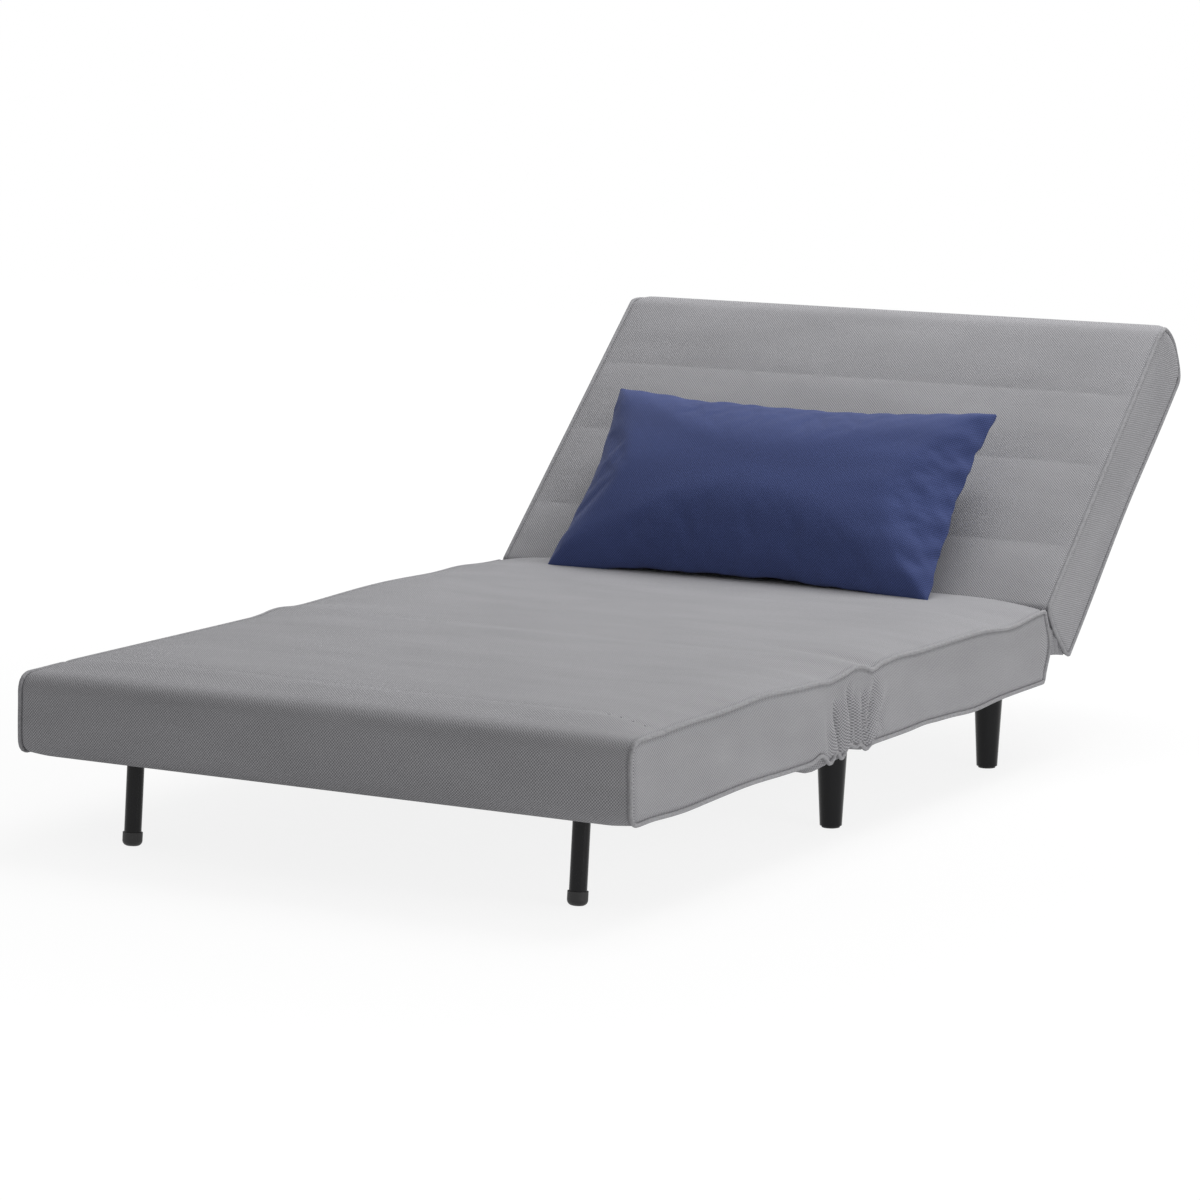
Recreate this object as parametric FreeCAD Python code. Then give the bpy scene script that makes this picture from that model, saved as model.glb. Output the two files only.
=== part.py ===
import FreeCAD, Part
import math
import os
from FreeCAD import Vector

# A chair bed for one person. Three upholstered sections lie in a row: foot, seat and back.
# The foot section folds up and over onto the seat, and the back tilts from flat to upright.
# X runs across the bed, Y from the foot end to the back, Z up. Lengths are millimetres.
# The sections are drawn flat from the foot end at Y = 0, the back is then tilted to its
# resting angle, and last the whole bed is moved so that Y = 0 is the middle of its length.

# Driving sizes of the sections
bed_width = 1000.0
foot_length = 667.0
seat_length = 672.0
back_length = 632.0
underside_height = 137.0
section_thickness = 115.5
back_thickness = 126.0
top_crown = 6.0
crown_margin = 4.0
plan_margin = 1.0
front_seam_distance = 112.0
back_seam_spots = (130.0, 300.0, 450.0)
seam_depth = 3.0
channel_crown = 6.0
channel_seam_depth = 6.0
crown_rise_width = 144.0
crown_rise_share = 0.45
crown_rise_height_share = 0.72
crown_camber = 1.0
side_draw_in = 3.0
front_roll_radius = 28.0
front_low_radius = 22.0
bottom_edge_radius = 12.0
end_edge_radius = 6.0
corner_radius = 8.0
back_low_radius = 26.0
back_top_radius = 18.0
back_top_lean = 15.0
back_rear_hollow = 9.0
cover_wall = 2.0
foam_clearance = 0.5

# The two hinge lines
fold_gap = 6.0
fold_axis_rise = 7.5
back_gap = 11.0
back_axis_offset = 5.0
back_axis_depth = 8.5
back_rest_angle = 43.0
back_upright_angle = 72.0

# Steel frame, slats and screws
rail_width = 20.0
rail_height = 38.0
rail_wall = 1.5
rail_side_clearance = 14.0
front_rail_distance = 30.0
slat_width = 60.0
slat_thickness = 8.0
slat_end_inset = 5.0
slat_count = 5
foot_slat_margin = 25.0
seat_slat_margin = 15.0
back_slat_margin = 5.0
slat_fitting_margin = 8.0
seat_rear_rail_inset = 5.0
back_low_rail_inset = 14.0
back_top_rail_inset = 60.0
back_rail_clearance = 1.0
screw_radius = 3.0
screw_head_radius = 5.0
screw_head_height = 3.2
screw_play = 0.2

# Fold hinges between foot and seat
fold_hinge_side_distance = 200.0
leaf_screw_spacing = 22.0
leaf_screw_margin = 9.0
fold_leaf_width = leaf_screw_spacing + 2 * leaf_screw_margin
fold_leaf_thickness = 3.5
fold_knuckle_radius = 4.0
fold_pin_radius = 2.2
knuckle_side_play = 0.5
pin_play = 0.05
fold_pin_head_radius = 3.4
fold_pin_head_length = 2.0
fold_pin_head_play = 0.1
fold_crank_depth = 10.0
fold_leaf_lift = 2.0
room_play = 1.5

# Recline fittings between seat and back
fitting_thickness = 5.0
fitting_side_play = 0.5
fitting_eye_radius = 6.5
fitting_pin_radius = 3.5
fitting_pin_head_radius = 5.5
fitting_pin_head_length = 3.0
fitting_foot_length = 92.0
fitting_foot_lift = 8.0
fitting_foot_height = 58.0
fitting_foot_clearance = 1.0
fitting_back_foot_rise = 20.0
fitting_screw_end = 18.0
fitting_screw_rise = 2.0
fitting_pin_head_play = 0.2
neck_reach = 26.0
neck_depth = 10.0
arm_end_rim = 2.5
stop_pin_overhang = 1.0
stop_circle_radius = 52.0
stop_pin_radius = 5.0
stop_slot_play = 0.3
stop_flat_angle = 184.0
stop_rim = 6.0
stop_end_play = 0.6
fan_flat_margin = 6.0
fan_upright_margin = 10.0
fitting_room_reach = 18.0

# Tapered legs under the seat
leg_side_distance = 78.0
front_leg_distance = 77.0
rear_leg_distance = 43.0
leg_top_radius = 23.5
leg_bottom_radius = 16.5
glide_radius = 13.5
glide_thickness = 3.0
leg_plate_thickness = 4.0
leg_plate_width = 90.0
leg_plate_depth = 78.0
leg_bolt_radius = 5.0
leg_bolt_depth = 25.0
leg_bolt_head_radius = 9.0
leg_bolt_head_height = 6.0
leg_bore_extra = 1.0

# Folding tube legs under the foot section
tube_leg_side_distance = 132.0
tube_radius = 12.5
tube_wall = 1.5
tube_pivot_distance = 105.0
tube_pivot_height = 160.0
tube_leg_lean = 5.0
cap_radius = 14.5
cap_height = 20.0
cap_edge_radius = 8.0
cap_floor = 4.0
bracket_thickness = 5.0
bracket_eye_radius = 16.0
bracket_spacing = 17.0
cross_tube_overhang = 30.0
tube_play = 0.1
plug_disc_thickness = 2.0
plug_stem_length = 8.0
stop_tab_width = 30.0
stop_tab_thickness = 5.0
stop_tab_play = 0.5
leg_slot_width = 46.0
leg_slot_front = 30.0
leg_slot_rear = 190.0

# Loose pillow that leans on the back
pillow_width = 697.0
pillow_height = 372.0
pillow_thickness = 140.0
pillow_edge = 8.0
pillow_wall = 2.0
pillow_centre = -17.0
pillow_lean = 48.0
pillow_turn = -2.0
pillow_forward = 88.0
pillow_lift = 10.0
pillow_edge_dip = 10.0
pillow_end_fullness = 0.045
pillow_swell = 2.6
pillow_slices = (-1.0, -0.9, -0.65, 0.0, 0.65, 0.9, 1.0)

# Places that follow from the sizes above
top_level = underside_height + section_thickness
fold_y = foot_length + fold_gap / 2
fold_z = top_level + fold_axis_rise
seat_start = foot_length + fold_gap
seat_end = seat_start + seat_length
axis_y = seat_end + back_axis_offset
axis_z = top_level - back_axis_depth
back_start = seat_end + back_gap
back_end = back_start + back_length
back_bottom = top_level - back_thickness
half_width = bed_width / 2
fold_hinge_spot = half_width - fold_hinge_side_distance
leg_spot = half_width - leg_side_distance
tube_leg_spot = half_width - tube_leg_side_distance
rail_bottom = underside_height + cover_wall
rail_top = rail_bottom + rail_height
slat_top = rail_top + slat_thickness
rail_outer = half_width - cover_wall - rail_side_clearance
rail_inner = rail_outer - rail_width
back_rail_inner = rail_inner - fitting_thickness - fitting_side_play
back_rail_outer = back_rail_inner + rail_width
reach = 3 * bed_width


# Small tools for drawing

def side_point(y, z):
    return Vector(0, y, z)


def cross_point(x, z):
    return Vector(x, 0, z)


def plan_point(x, y):
    return Vector(x, y, 0)


def outline(place, start, steps):
    """A flat face. Each step is (end,) for a line or (middle, end) for an arc."""
    edges = []
    here = place(*start)
    for step in steps:
        end = place(*step[-1])
        if len(step) == 1:
            edges.append(Part.LineSegment(here, end).toShape())
        else:
            edges.append(Part.Arc(here, place(*step[0]), end).toShape())
        here = end
    return Part.Face(Part.Wire(edges))


def corner_middle(centre, radius, direction):
    """The middle of a quarter arc whose bulge points in a diagonal direction."""
    part = radius * math.sqrt(0.5)
    return (centre[0] + direction[0] * part, centre[1] + direction[1] * part)


def polar(centre, radius, angle):
    turn = math.radians(angle)
    return (centre[0] + radius * math.cos(turn), centre[1] + radius * math.sin(turn))


def box(x0, x1, y0, y1, z0, z1):
    return Part.makeBox(x1 - x0, y1 - y0, z1 - z0, Vector(x0, y0, z0))


def rod(start, end, radius):
    way = Vector(*end) - Vector(*start)
    return Part.makeCylinder(radius, way.Length, Vector(*start), way)


def shrink(face, inset):
    if inset == 0:
        return face.copy()
    return face.makeOffset2D(-inset)


def extruded(face, way):
    moved = face.copy()
    moved.translate(way * -0.5)
    return moved.extrude(way)


def mirrored(shape):
    return shape.mirror(Vector(0, 0, 0), Vector(1, 0, 0))


def both_sides(shape):
    return [shape, mirrored(shape)]


def group(shapes):
    return Part.makeCompound(shapes)


def one_solid(shape):
    return max(shape.Solids, key=lambda solid: solid.Volume)


def cushion(side, cross, plan, inset):
    """The body that three outlines share, seen from the side, the front and above."""
    across = extruded(shrink(side, inset), Vector(2 * reach, 0, 0))
    along = extruded(shrink(cross, inset), Vector(0, 2 * reach, 0))
    upright = extruded(shrink(plan, inset), Vector(0, 0, 2 * reach))
    return one_solid(across.common(along).common(upright))


# Outlines of the cushions

def cross_outline(bottom, crown):
    """Seen from the foot end: drawn-in sides and a top that rises from its piped edges."""
    middle = (bottom + top_level) / 2
    edge = end_edge_radius
    low = bottom_edge_radius
    inner = half_width - edge
    foot = half_width - low
    shoulder = inner - crown_rise_width
    rise_spot = inner - crown_rise_share * crown_rise_width
    rise_level = top_level + crown_rise_height_share * crown
    return outline(cross_point, (-foot, bottom), [
        ((foot, bottom),),
        (corner_middle((foot, bottom + low), low, (1, -1)), (half_width, bottom + low)),
        ((half_width - side_draw_in, middle), (half_width, top_level - edge)),
        (corner_middle((inner, top_level - edge), edge, (1, 1)), (inner, top_level)),
        ((rise_spot, rise_level), (shoulder, top_level + crown)),
        ((0, top_level + crown + crown_camber), (-shoulder, top_level + crown)),
        ((-rise_spot, rise_level), (-inner, top_level)),
        (corner_middle((-inner, top_level - edge), edge, (-1, 1)), (-half_width, top_level - edge)),
        ((-half_width + side_draw_in, middle), (-half_width, bottom + low)),
        (corner_middle((-foot, bottom + low), low, (-1, -1)), (-foot, bottom)),
    ])


def plan_outline(start, end):
    """Seen from above: rounded corners. Its sides stand clear of the cross outline's."""
    half = half_width + plan_margin
    radius = corner_radius
    return outline(plan_point, (-half + radius, start), [
        ((half - radius, start),),
        (corner_middle((half - radius, start + radius), radius, (1, -1)), (half, start + radius)),
        ((half, end - radius),),
        (corner_middle((half - radius, end - radius), radius, (1, 1)), (half - radius, end)),
        ((-half + radius, end),),
        (corner_middle((-half + radius, end - radius), radius, (-1, 1)), (-half, end - radius)),
        ((-half, start + radius),),
        (corner_middle((-half + radius, start + radius), radius, (-1, -1)), (-half + radius, start)),
    ])


def foot_side_outline():
    """The front edge is a soft roll that ends at a sewn line across the top."""
    low = front_low_radius
    roll = front_roll_radius
    edge = end_edge_radius
    crown_level = top_level + top_crown
    seam = (front_seam_distance, crown_level - seam_depth)
    top_middle = (front_seam_distance + foot_length) / 2
    return outline(side_point, (low, underside_height), [
        (corner_middle((low, underside_height + low), low, (-1, -1)), (0, underside_height + low)),
        ((0, top_level - roll),),
        (corner_middle((roll, top_level - roll), roll, (-1, 1)), (roll, top_level)),
        (((roll + front_seam_distance) / 2, crown_level - seam_depth / 2), seam),
        ((top_middle, crown_level + crown_margin), (foot_length - edge, top_level)),
        (corner_middle((foot_length - edge, top_level - edge), edge, (1, 1)),
         (foot_length, top_level - edge)),
        ((foot_length, underside_height),),
        ((low, underside_height),),
    ])


def seat_side_outline():
    edge = end_edge_radius
    middle = (seat_start + seat_end) / 2
    return outline(side_point, (seat_start, underside_height), [
        ((seat_start, top_level - edge),),
        (corner_middle((seat_start + edge, top_level - edge), edge, (-1, 1)), (seat_start + edge, top_level)),
        ((middle, top_level + top_crown + crown_margin), (seat_end - edge, top_level)),
        (corner_middle((seat_end - edge, top_level - edge), edge, (1, 1)), (seat_end, top_level - edge)),
        ((seat_end, underside_height),),
        ((seat_start, underside_height),),
    ])


def back_side_outline():
    """Drawn flat. Three sewn lines part the face into four raised channels."""
    edge = end_edge_radius
    low = back_low_radius
    top_roll = back_top_radius
    seam_level = top_level + channel_crown - channel_seam_depth
    steps = [((back_start, top_level - edge),)]
    here = (back_start + edge, top_level)
    steps.append((corner_middle((here[0], top_level - edge), edge, (-1, 1)), here))
    stops = [(axis_y + spot, seam_level) for spot in back_seam_spots]
    stops.append((back_end - back_top_lean - edge, top_level))
    for stop in stops:
        steps.append((((here[0] + stop[0]) / 2, top_level + channel_crown), stop))
        here = stop
    steps.append((corner_middle((here[0], top_level - edge), edge, (1, 1)),
                  (here[0] + edge, top_level - edge)))
    steps.append(((back_end, back_bottom + top_roll),))
    steps.append((corner_middle((back_end - top_roll, back_bottom + top_roll), top_roll, (1, -1)),
                  (back_end - top_roll, back_bottom)))
    rear_middle = ((back_start + back_end) / 2, back_bottom + back_rear_hollow)
    steps.append((rear_middle, (back_start + low, back_bottom)))
    steps.append((corner_middle((back_start + low, back_bottom + low), low, (-1, -1)),
                  (back_start, back_bottom + low)))
    return outline(side_point, (back_start, back_bottom + low), steps)


def foot_body(inset):
    plan = plan_outline(0, foot_length)
    return cushion(foot_side_outline(), cross_outline(underside_height, top_crown), plan, inset)


def seat_body(inset):
    plan = plan_outline(seat_start, seat_end)
    return cushion(seat_side_outline(), cross_outline(underside_height, top_crown), plan, inset)


def back_body(inset):
    plan = plan_outline(back_start, back_end)
    cross = cross_outline(back_bottom - crown_margin, channel_crown + crown_margin)
    return cushion(back_side_outline(), cross, plan, inset)


# Fold hinges: each leaf is a strip on a cross rail, cranked up to a knuckle at the top

def strip(p, q, thickness):
    """A flat bar drawn between two points seen from the side."""
    length = math.hypot(q[0] - p[0], q[1] - p[1])
    across = (-(q[1] - p[1]) / length * thickness / 2, (q[0] - p[0]) / length * thickness / 2)
    return outline(side_point, (p[0] - across[0], p[1] - across[1]), [
        ((q[0] - across[0], q[1] - across[1]),),
        ((q[0] + across[0], q[1] + across[1]),),
        ((p[0] + across[0], p[1] + across[1]),),
        ((p[0] - across[0], p[1] - across[1]),),
    ])


def between(face, x0, x1):
    moved = face.copy()
    moved.translate(Vector(x0, 0, 0))
    return moved.extrude(Vector(x1 - x0, 0, 0))


knuckle_length = fold_leaf_width / 3
leaf_back = foot_length - cover_wall - foam_clearance
leaf_front = leaf_back - fold_leaf_thickness
leaf_crank_level = top_level - fold_crank_depth


def fold_leaf(knuckle_spans):
    """The foot side's leaf at X = fold_hinge_spot. Its knuckles fill the given spans."""
    x0 = fold_hinge_spot - fold_leaf_width / 2
    x1 = fold_hinge_spot + fold_leaf_width / 2
    leaf = box(x0, x1, leaf_front, leaf_back, rail_bottom + fold_leaf_lift, leaf_crank_level)
    root = ((leaf_front + leaf_back) / 2, leaf_crank_level - fold_leaf_thickness / 2)
    for start, end in knuckle_spans:
        bar = between(strip(root, (fold_y, fold_z), fold_leaf_thickness), start, end)
        knuckle = rod((start, fold_y, fold_z), (end, fold_y, fold_z), fold_knuckle_radius)
        leaf = leaf.fuse([bar, knuckle])
    pin_way = rod((x0 - 1, fold_y, fold_z), (x1 + 1, fold_y, fold_z), fold_pin_radius + pin_play)
    return leaf.cut(pin_way).removeSplitter()


def to_seat_side(shape):
    """Turns a foot side's piece into the seat side's, across the fold line."""
    return shape.mirror(Vector(0, fold_y, 0), Vector(0, 1, 0))


leaf_left_edge = fold_hinge_spot - fold_leaf_width / 2
leaf_right_edge = fold_hinge_spot + fold_leaf_width / 2
outer_knuckles = [
    (leaf_left_edge, leaf_left_edge + knuckle_length - knuckle_side_play),
    (leaf_right_edge - knuckle_length + knuckle_side_play, leaf_right_edge),
]
inner_knuckle = [(leaf_left_edge + knuckle_length, leaf_right_edge - knuckle_length)]
leaf_screw_spots = [fold_hinge_spot - leaf_screw_spacing / 2, fold_hinge_spot + leaf_screw_spacing / 2]
leaf_screw_level = rail_bottom + rail_height / 2


def fold_pin():
    left = (leaf_left_edge - fold_pin_head_length, fold_y, fold_z)
    right = (leaf_right_edge + fold_pin_head_length, fold_y, fold_z)
    pin = rod(left, right, fold_pin_radius)
    left_head = rod(left, (leaf_left_edge - fold_pin_head_play, fold_y, fold_z), fold_pin_head_radius)
    right_head = rod(right, (leaf_right_edge + fold_pin_head_play, fold_y, fold_z), fold_pin_head_radius)
    return pin.fuse([left_head, right_head]).removeSplitter()


def screw(tip, head_face, way):
    """A screw from its tip to the face that its head sits on. The head points along way."""
    top = Vector(*head_face) + Vector(*way) * screw_head_height
    shank = rod(tip, head_face, screw_radius)
    return shank.fuse(rod(head_face, tuple(top), screw_head_radius)).removeSplitter()


def leaf_screws():
    """Foot side's leaf screws. Their heads are inside the frame."""
    head_y = leaf_front - rail_width
    return [screw((x, leaf_back, leaf_screw_level), (x, head_y, leaf_screw_level), (0, -1, 0))
            for x in leaf_screw_spots]


def leaf_screw_ways():
    y0 = leaf_front - rail_width - 1
    return [rod((x, y0, leaf_screw_level), (x, leaf_back + 1, leaf_screw_level), screw_radius + screw_play)
            for x in leaf_screw_spots]


def fold_leaf_room(lowest):
    """What a cover or a foam leaves open for a leaf, its knuckles and the pin's heads."""
    side = room_play + fold_pin_head_length
    return box(leaf_left_edge - side, leaf_right_edge + side, leaf_front - room_play, foot_length + room_play,
               lowest, top_level + top_crown + room_play)


# Frames of box tube, and the slats across them

def tube_rail(x0, x1, y0, y1, z0, z1, along):
    outer = box(x0, x1, y0, y1, z0, z1)
    wall = rail_wall
    if along == "x":
        return outer.cut(box(x0 - 1, x1 + 1, y0 + wall, y1 - wall, z0 + wall, z1 - wall))
    return outer.cut(box(x0 + wall, x1 - wall, y0 - 1, y1 + 1, z0 + wall, z1 - wall))


def slats(first, last, z0, x_end):
    pitch = (last - first) / (slat_count - 1)
    middles = [first + pitch * number for number in range(slat_count)]
    half = slat_width / 2
    return [box(-x_end, x_end, y - half, y + half, z0, z0 + slat_thickness) for y in middles]


parts = {}

# Foot section frame
foot_front_rail_rear = front_rail_distance + rail_width
foot_rear_rail_front = leaf_front - rail_width
foot_screw_ways = []
for shape in leaf_screw_ways():
    foot_screw_ways += both_sides(shape)

parts["foot_rail_front"] = tube_rail(-rail_outer, rail_outer, front_rail_distance, foot_front_rail_rear,
                                     rail_bottom, rail_top, "x")
foot_rear_rail = tube_rail(-rail_outer, rail_outer, foot_rear_rail_front, leaf_front,
                           rail_bottom, rail_top, "x")
parts["foot_rail_rear"] = foot_rear_rail.cut(foot_screw_ways)
foot_side_rail = tube_rail(rail_inner, rail_outer, foot_front_rail_rear, foot_rear_rail_front,
                           rail_bottom, rail_top, "y")
parts["foot_rail_right"] = foot_side_rail
parts["foot_rail_left"] = mirrored(foot_side_rail)
first_foot_slat = foot_front_rail_rear + slat_width / 2 + foot_slat_margin
last_foot_slat = foot_rear_rail_front - slat_width / 2 - foot_slat_margin
slat_reach = rail_outer - slat_end_inset
parts["foot_slats"] = group(slats(first_foot_slat, last_foot_slat, rail_top, slat_reach))

# Seat section frame, which also carries the tapered legs
seat_front_rail_front = 2 * fold_y - leaf_front
seat_front_rail_rear = seat_front_rail_front + rail_width
seat_rear_rail_rear = seat_end - cover_wall - seat_rear_rail_inset
seat_rear_rail_front = seat_rear_rail_rear - rail_width
seat_screw_ways = [to_seat_side(shape) for shape in foot_screw_ways]
fitting_foot_rear = seat_rear_rail_front - fitting_foot_clearance
fitting_foot_front = fitting_foot_rear - fitting_foot_length
fitting_foot_bottom = rail_bottom + fitting_foot_lift
fitting_foot_top = fitting_foot_bottom + fitting_foot_height
fitting_screw_spots = (fitting_foot_front + fitting_screw_end, fitting_foot_rear - fitting_screw_end)
fitting_screw_level = rail_bottom + rail_height / 2 + fitting_screw_rise


def fitting_screw_ways(spots, x0, x1):
    return [rod((x0, y, fitting_screw_level), (x1, y, fitting_screw_level), screw_radius + screw_play)
            for y in spots]


seat_front_rail = tube_rail(-rail_outer, rail_outer, seat_front_rail_front, seat_front_rail_rear,
                            rail_bottom, rail_top, "x")
parts["seat_rail_front"] = seat_front_rail.cut(seat_screw_ways)
parts["seat_rail_rear"] = tube_rail(-rail_outer, rail_outer, seat_rear_rail_front, seat_rear_rail_rear,
                                    rail_bottom, rail_top, "x")
seat_side_rail = tube_rail(rail_inner, rail_outer, seat_front_rail_rear, seat_rear_rail_front,
                           rail_bottom, rail_top, "y")
seat_side_rail = seat_side_rail.cut(fitting_screw_ways(fitting_screw_spots, rail_inner - 1, rail_outer + 1))
parts["seat_rail_right"] = seat_side_rail
parts["seat_rail_left"] = mirrored(seat_side_rail)
first_seat_slat = seat_front_rail_rear + slat_width / 2 + seat_slat_margin
last_seat_slat = fitting_foot_front - slat_width / 2 - slat_fitting_margin
parts["seat_slats"] = group(slats(first_seat_slat, last_seat_slat, rail_top, slat_reach))

# Fold hinges
foot_leaf = fold_leaf(outer_knuckles).cut(leaf_screw_ways())
seat_leaf = to_seat_side(fold_leaf(inner_knuckle).cut(leaf_screw_ways()))
parts["fold_hinge_foot_leaves"] = group(both_sides(foot_leaf))
parts["fold_hinge_seat_leaves"] = group(both_sides(seat_leaf))
parts["fold_hinge_pins"] = group(both_sides(fold_pin()))
foot_leaf_screws = []
for shape in leaf_screws():
    foot_leaf_screws += both_sides(shape)
parts["fold_hinge_foot_screws"] = group(foot_leaf_screws)
parts["fold_hinge_seat_screws"] = group([to_seat_side(shape) for shape in foot_leaf_screws])

# Recline fittings. A pin on the back's plate runs in a curved slot of the seat's plate,
# and the slot's ends stop the back when it is flat and when it is upright.
axis = (axis_y, axis_z)
stop_sweep = back_upright_angle
seat_plate_x0 = rail_inner - fitting_thickness
seat_plate_x1 = rail_inner
back_plate_x1 = seat_plate_x0 - fitting_side_play
back_plate_x0 = back_plate_x1 - fitting_thickness


def wedge(radius, first, last):
    return outline(side_point, axis, [
        (polar(axis, radius, first),),
        (polar(axis, radius, (first + last) / 2), polar(axis, radius, last)),
        (axis,),
    ])


def curved_slot(half_gap, first, last):
    inner = stop_circle_radius - half_gap
    outer = stop_circle_radius + half_gap
    middle = (first + last) / 2
    start = polar(axis, stop_circle_radius, first)
    end = polar(axis, stop_circle_radius, last)
    return outline(side_point, polar(axis, inner, first), [
        (polar(start, half_gap, first - 90), polar(axis, outer, first)),
        (polar(axis, outer, middle), polar(axis, outer, last)),
        (polar(end, half_gap, last + 90), polar(axis, inner, last)),
        (polar(axis, inner, middle), polar(axis, inner, first)),
    ])


def seat_plate():
    fan_face = wedge(stop_circle_radius + stop_pin_radius + stop_rim, stop_flat_angle - fan_flat_margin,
                     stop_flat_angle + stop_sweep + fan_upright_margin)
    fan = between(fan_face, seat_plate_x0, seat_plate_x1)
    eye = rod((seat_plate_x0, *axis), (seat_plate_x1, *axis), fitting_eye_radius)
    foot = box(seat_plate_x0, seat_plate_x1, fitting_foot_front, fitting_foot_rear,
               fitting_foot_bottom, fitting_foot_top)
    extra = math.degrees(stop_end_play / stop_circle_radius)
    slot_face = curved_slot(stop_pin_radius + stop_slot_play, stop_flat_angle - extra,
                            stop_flat_angle + stop_sweep + extra)
    slot = between(slot_face, seat_plate_x0 - 1, seat_plate_x1 + 1)
    pin_way = rod((seat_plate_x0 - 1, *axis), (seat_plate_x1 + 1, *axis), fitting_pin_radius + pin_play)
    ways = fitting_screw_ways(fitting_screw_spots, seat_plate_x0 - 1, seat_plate_x1 + 1)
    return foot.fuse([fan, eye]).cut([slot, pin_way] + ways).removeSplitter()


# The back's plate lies flat here and is tilted with the back
back_rail_start = back_start + back_low_rail_inset
back_foot_start = back_rail_start + rail_width + fitting_foot_clearance
back_foot_end = back_foot_start + fitting_foot_length
back_rail_bottom = back_bottom + cover_wall + back_rear_hollow + back_rail_clearance
back_rail_top = back_rail_bottom + rail_height
back_foot_bottom = back_rail_bottom + fitting_foot_lift
back_foot_top = back_rail_top + fitting_back_foot_rise
back_screw_level = back_rail_bottom + rail_height / 2
back_screw_spots = (back_foot_start + fitting_screw_end, back_foot_end - fitting_screw_end)
stop_spot = polar(axis, stop_circle_radius, stop_flat_angle)


def back_screw_ways(x0, x1):
    return [rod((x0, y, back_screw_level), (x1, y, back_screw_level), screw_radius + screw_play)
            for y in back_screw_spots]


def back_plate():
    x0 = back_plate_x0
    x1 = back_plate_x1
    arm = between(strip(axis, stop_spot, 2 * fitting_eye_radius - 1), x0, x1)
    arm_end = rod((x0, *stop_spot), (x1, *stop_spot), stop_pin_radius + arm_end_rim)
    eye = rod((x0, *axis), (x1, *axis), fitting_eye_radius)
    neck_end = (back_foot_start + neck_reach, back_foot_top - neck_depth)
    neck = between(strip(axis, neck_end, 2 * fitting_eye_radius), x0, x1)
    foot = box(x0, x1, back_foot_start, back_foot_end, back_foot_bottom, back_foot_top)
    pin_way = rod((x0 - 1, *axis), (x1 + 1, *axis), fitting_pin_radius + pin_play)
    stop_way = rod((x0 - 1, *stop_spot), (x1 + 1, *stop_spot), stop_pin_radius)
    plate = foot.fuse([arm, arm_end, eye, neck])
    return plate.cut([pin_way, stop_way] + back_screw_ways(x0 - 1, x1 + 1)).removeSplitter()


def fitting_pin():
    inner_head = back_plate_x0 - fitting_pin_head_length
    outer_head = seat_plate_x1 + fitting_pin_head_length
    play = fitting_pin_head_play
    pin = rod((inner_head, *axis), (outer_head, *axis), fitting_pin_radius)
    heads = [rod((inner_head, *axis), (back_plate_x0 - play, *axis), fitting_pin_head_radius),
             rod((seat_plate_x1 + play, *axis), (outer_head, *axis), fitting_pin_head_radius)]
    return pin.fuse(heads).removeSplitter()


def fitting_screws(spots, level, tip_x, head_x):
    return [screw((tip_x, y, level), (head_x, y, level), (1, 0, 0)) for y in spots]


def fitting_room(y0, y1, z0, z1):
    """What a cover or a foam leaves open on both sides for the fittings."""
    side = fitting_pin_head_length + room_play
    return both_sides(box(back_plate_x0 - side, seat_plate_x1 + side, y0, y1, z0, z1))


parts["recline_seat_plates"] = group(both_sides(seat_plate()))
parts["recline_pivot_pins"] = group(both_sides(fitting_pin()))
seat_fitting_screws = []
for shape in fitting_screws(fitting_screw_spots, fitting_screw_level, seat_plate_x0, rail_outer):
    seat_fitting_screws += both_sides(shape)
parts["recline_seat_screws"] = group(seat_fitting_screws)

# Tapered legs, each held by a bolt through a plate in a corner of the seat frame
front_leg_y = seat_start + front_leg_distance
rear_leg_y = seat_end - rear_leg_distance
leg_top = underside_height
plate_x0 = rail_inner - leg_plate_width
plate_spans = {
    "front": (front_leg_y, seat_front_rail_rear, seat_front_rail_rear + leg_plate_depth),
    "rear": (rear_leg_y, seat_rear_rail_front - leg_plate_depth, seat_rear_rail_front),
}


def tapered_leg(y):
    leg = Part.makeCone(leg_bottom_radius, leg_top_radius, leg_top - glide_thickness,
                        Vector(leg_spot, y, glide_thickness))
    bore = rod((leg_spot, y, leg_top - leg_bolt_depth - leg_bore_extra), (leg_spot, y, leg_top + 1),
               leg_bolt_radius + screw_play)
    return leg.cut(bore)


def leg_glide(y):
    return rod((leg_spot, y, 0), (leg_spot, y, glide_thickness), glide_radius)


def leg_plate(y, y0, y1):
    plate = box(plate_x0, rail_inner, y0, y1, rail_bottom, rail_bottom + leg_plate_thickness)
    return plate.cut(rod((leg_spot, y, rail_bottom - 1), (leg_spot, y, rail_bottom + leg_plate_thickness + 1),
                         leg_bolt_radius + screw_play))


def leg_bolt(y):
    seat_face = rail_bottom + leg_plate_thickness
    shank = rod((leg_spot, y, leg_top - leg_bolt_depth), (leg_spot, y, seat_face), leg_bolt_radius)
    head_top = (leg_spot, y, seat_face + leg_bolt_head_height)
    head = rod((leg_spot, y, seat_face), head_top, leg_bolt_head_radius)
    return shank.fuse(head).removeSplitter()


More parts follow.
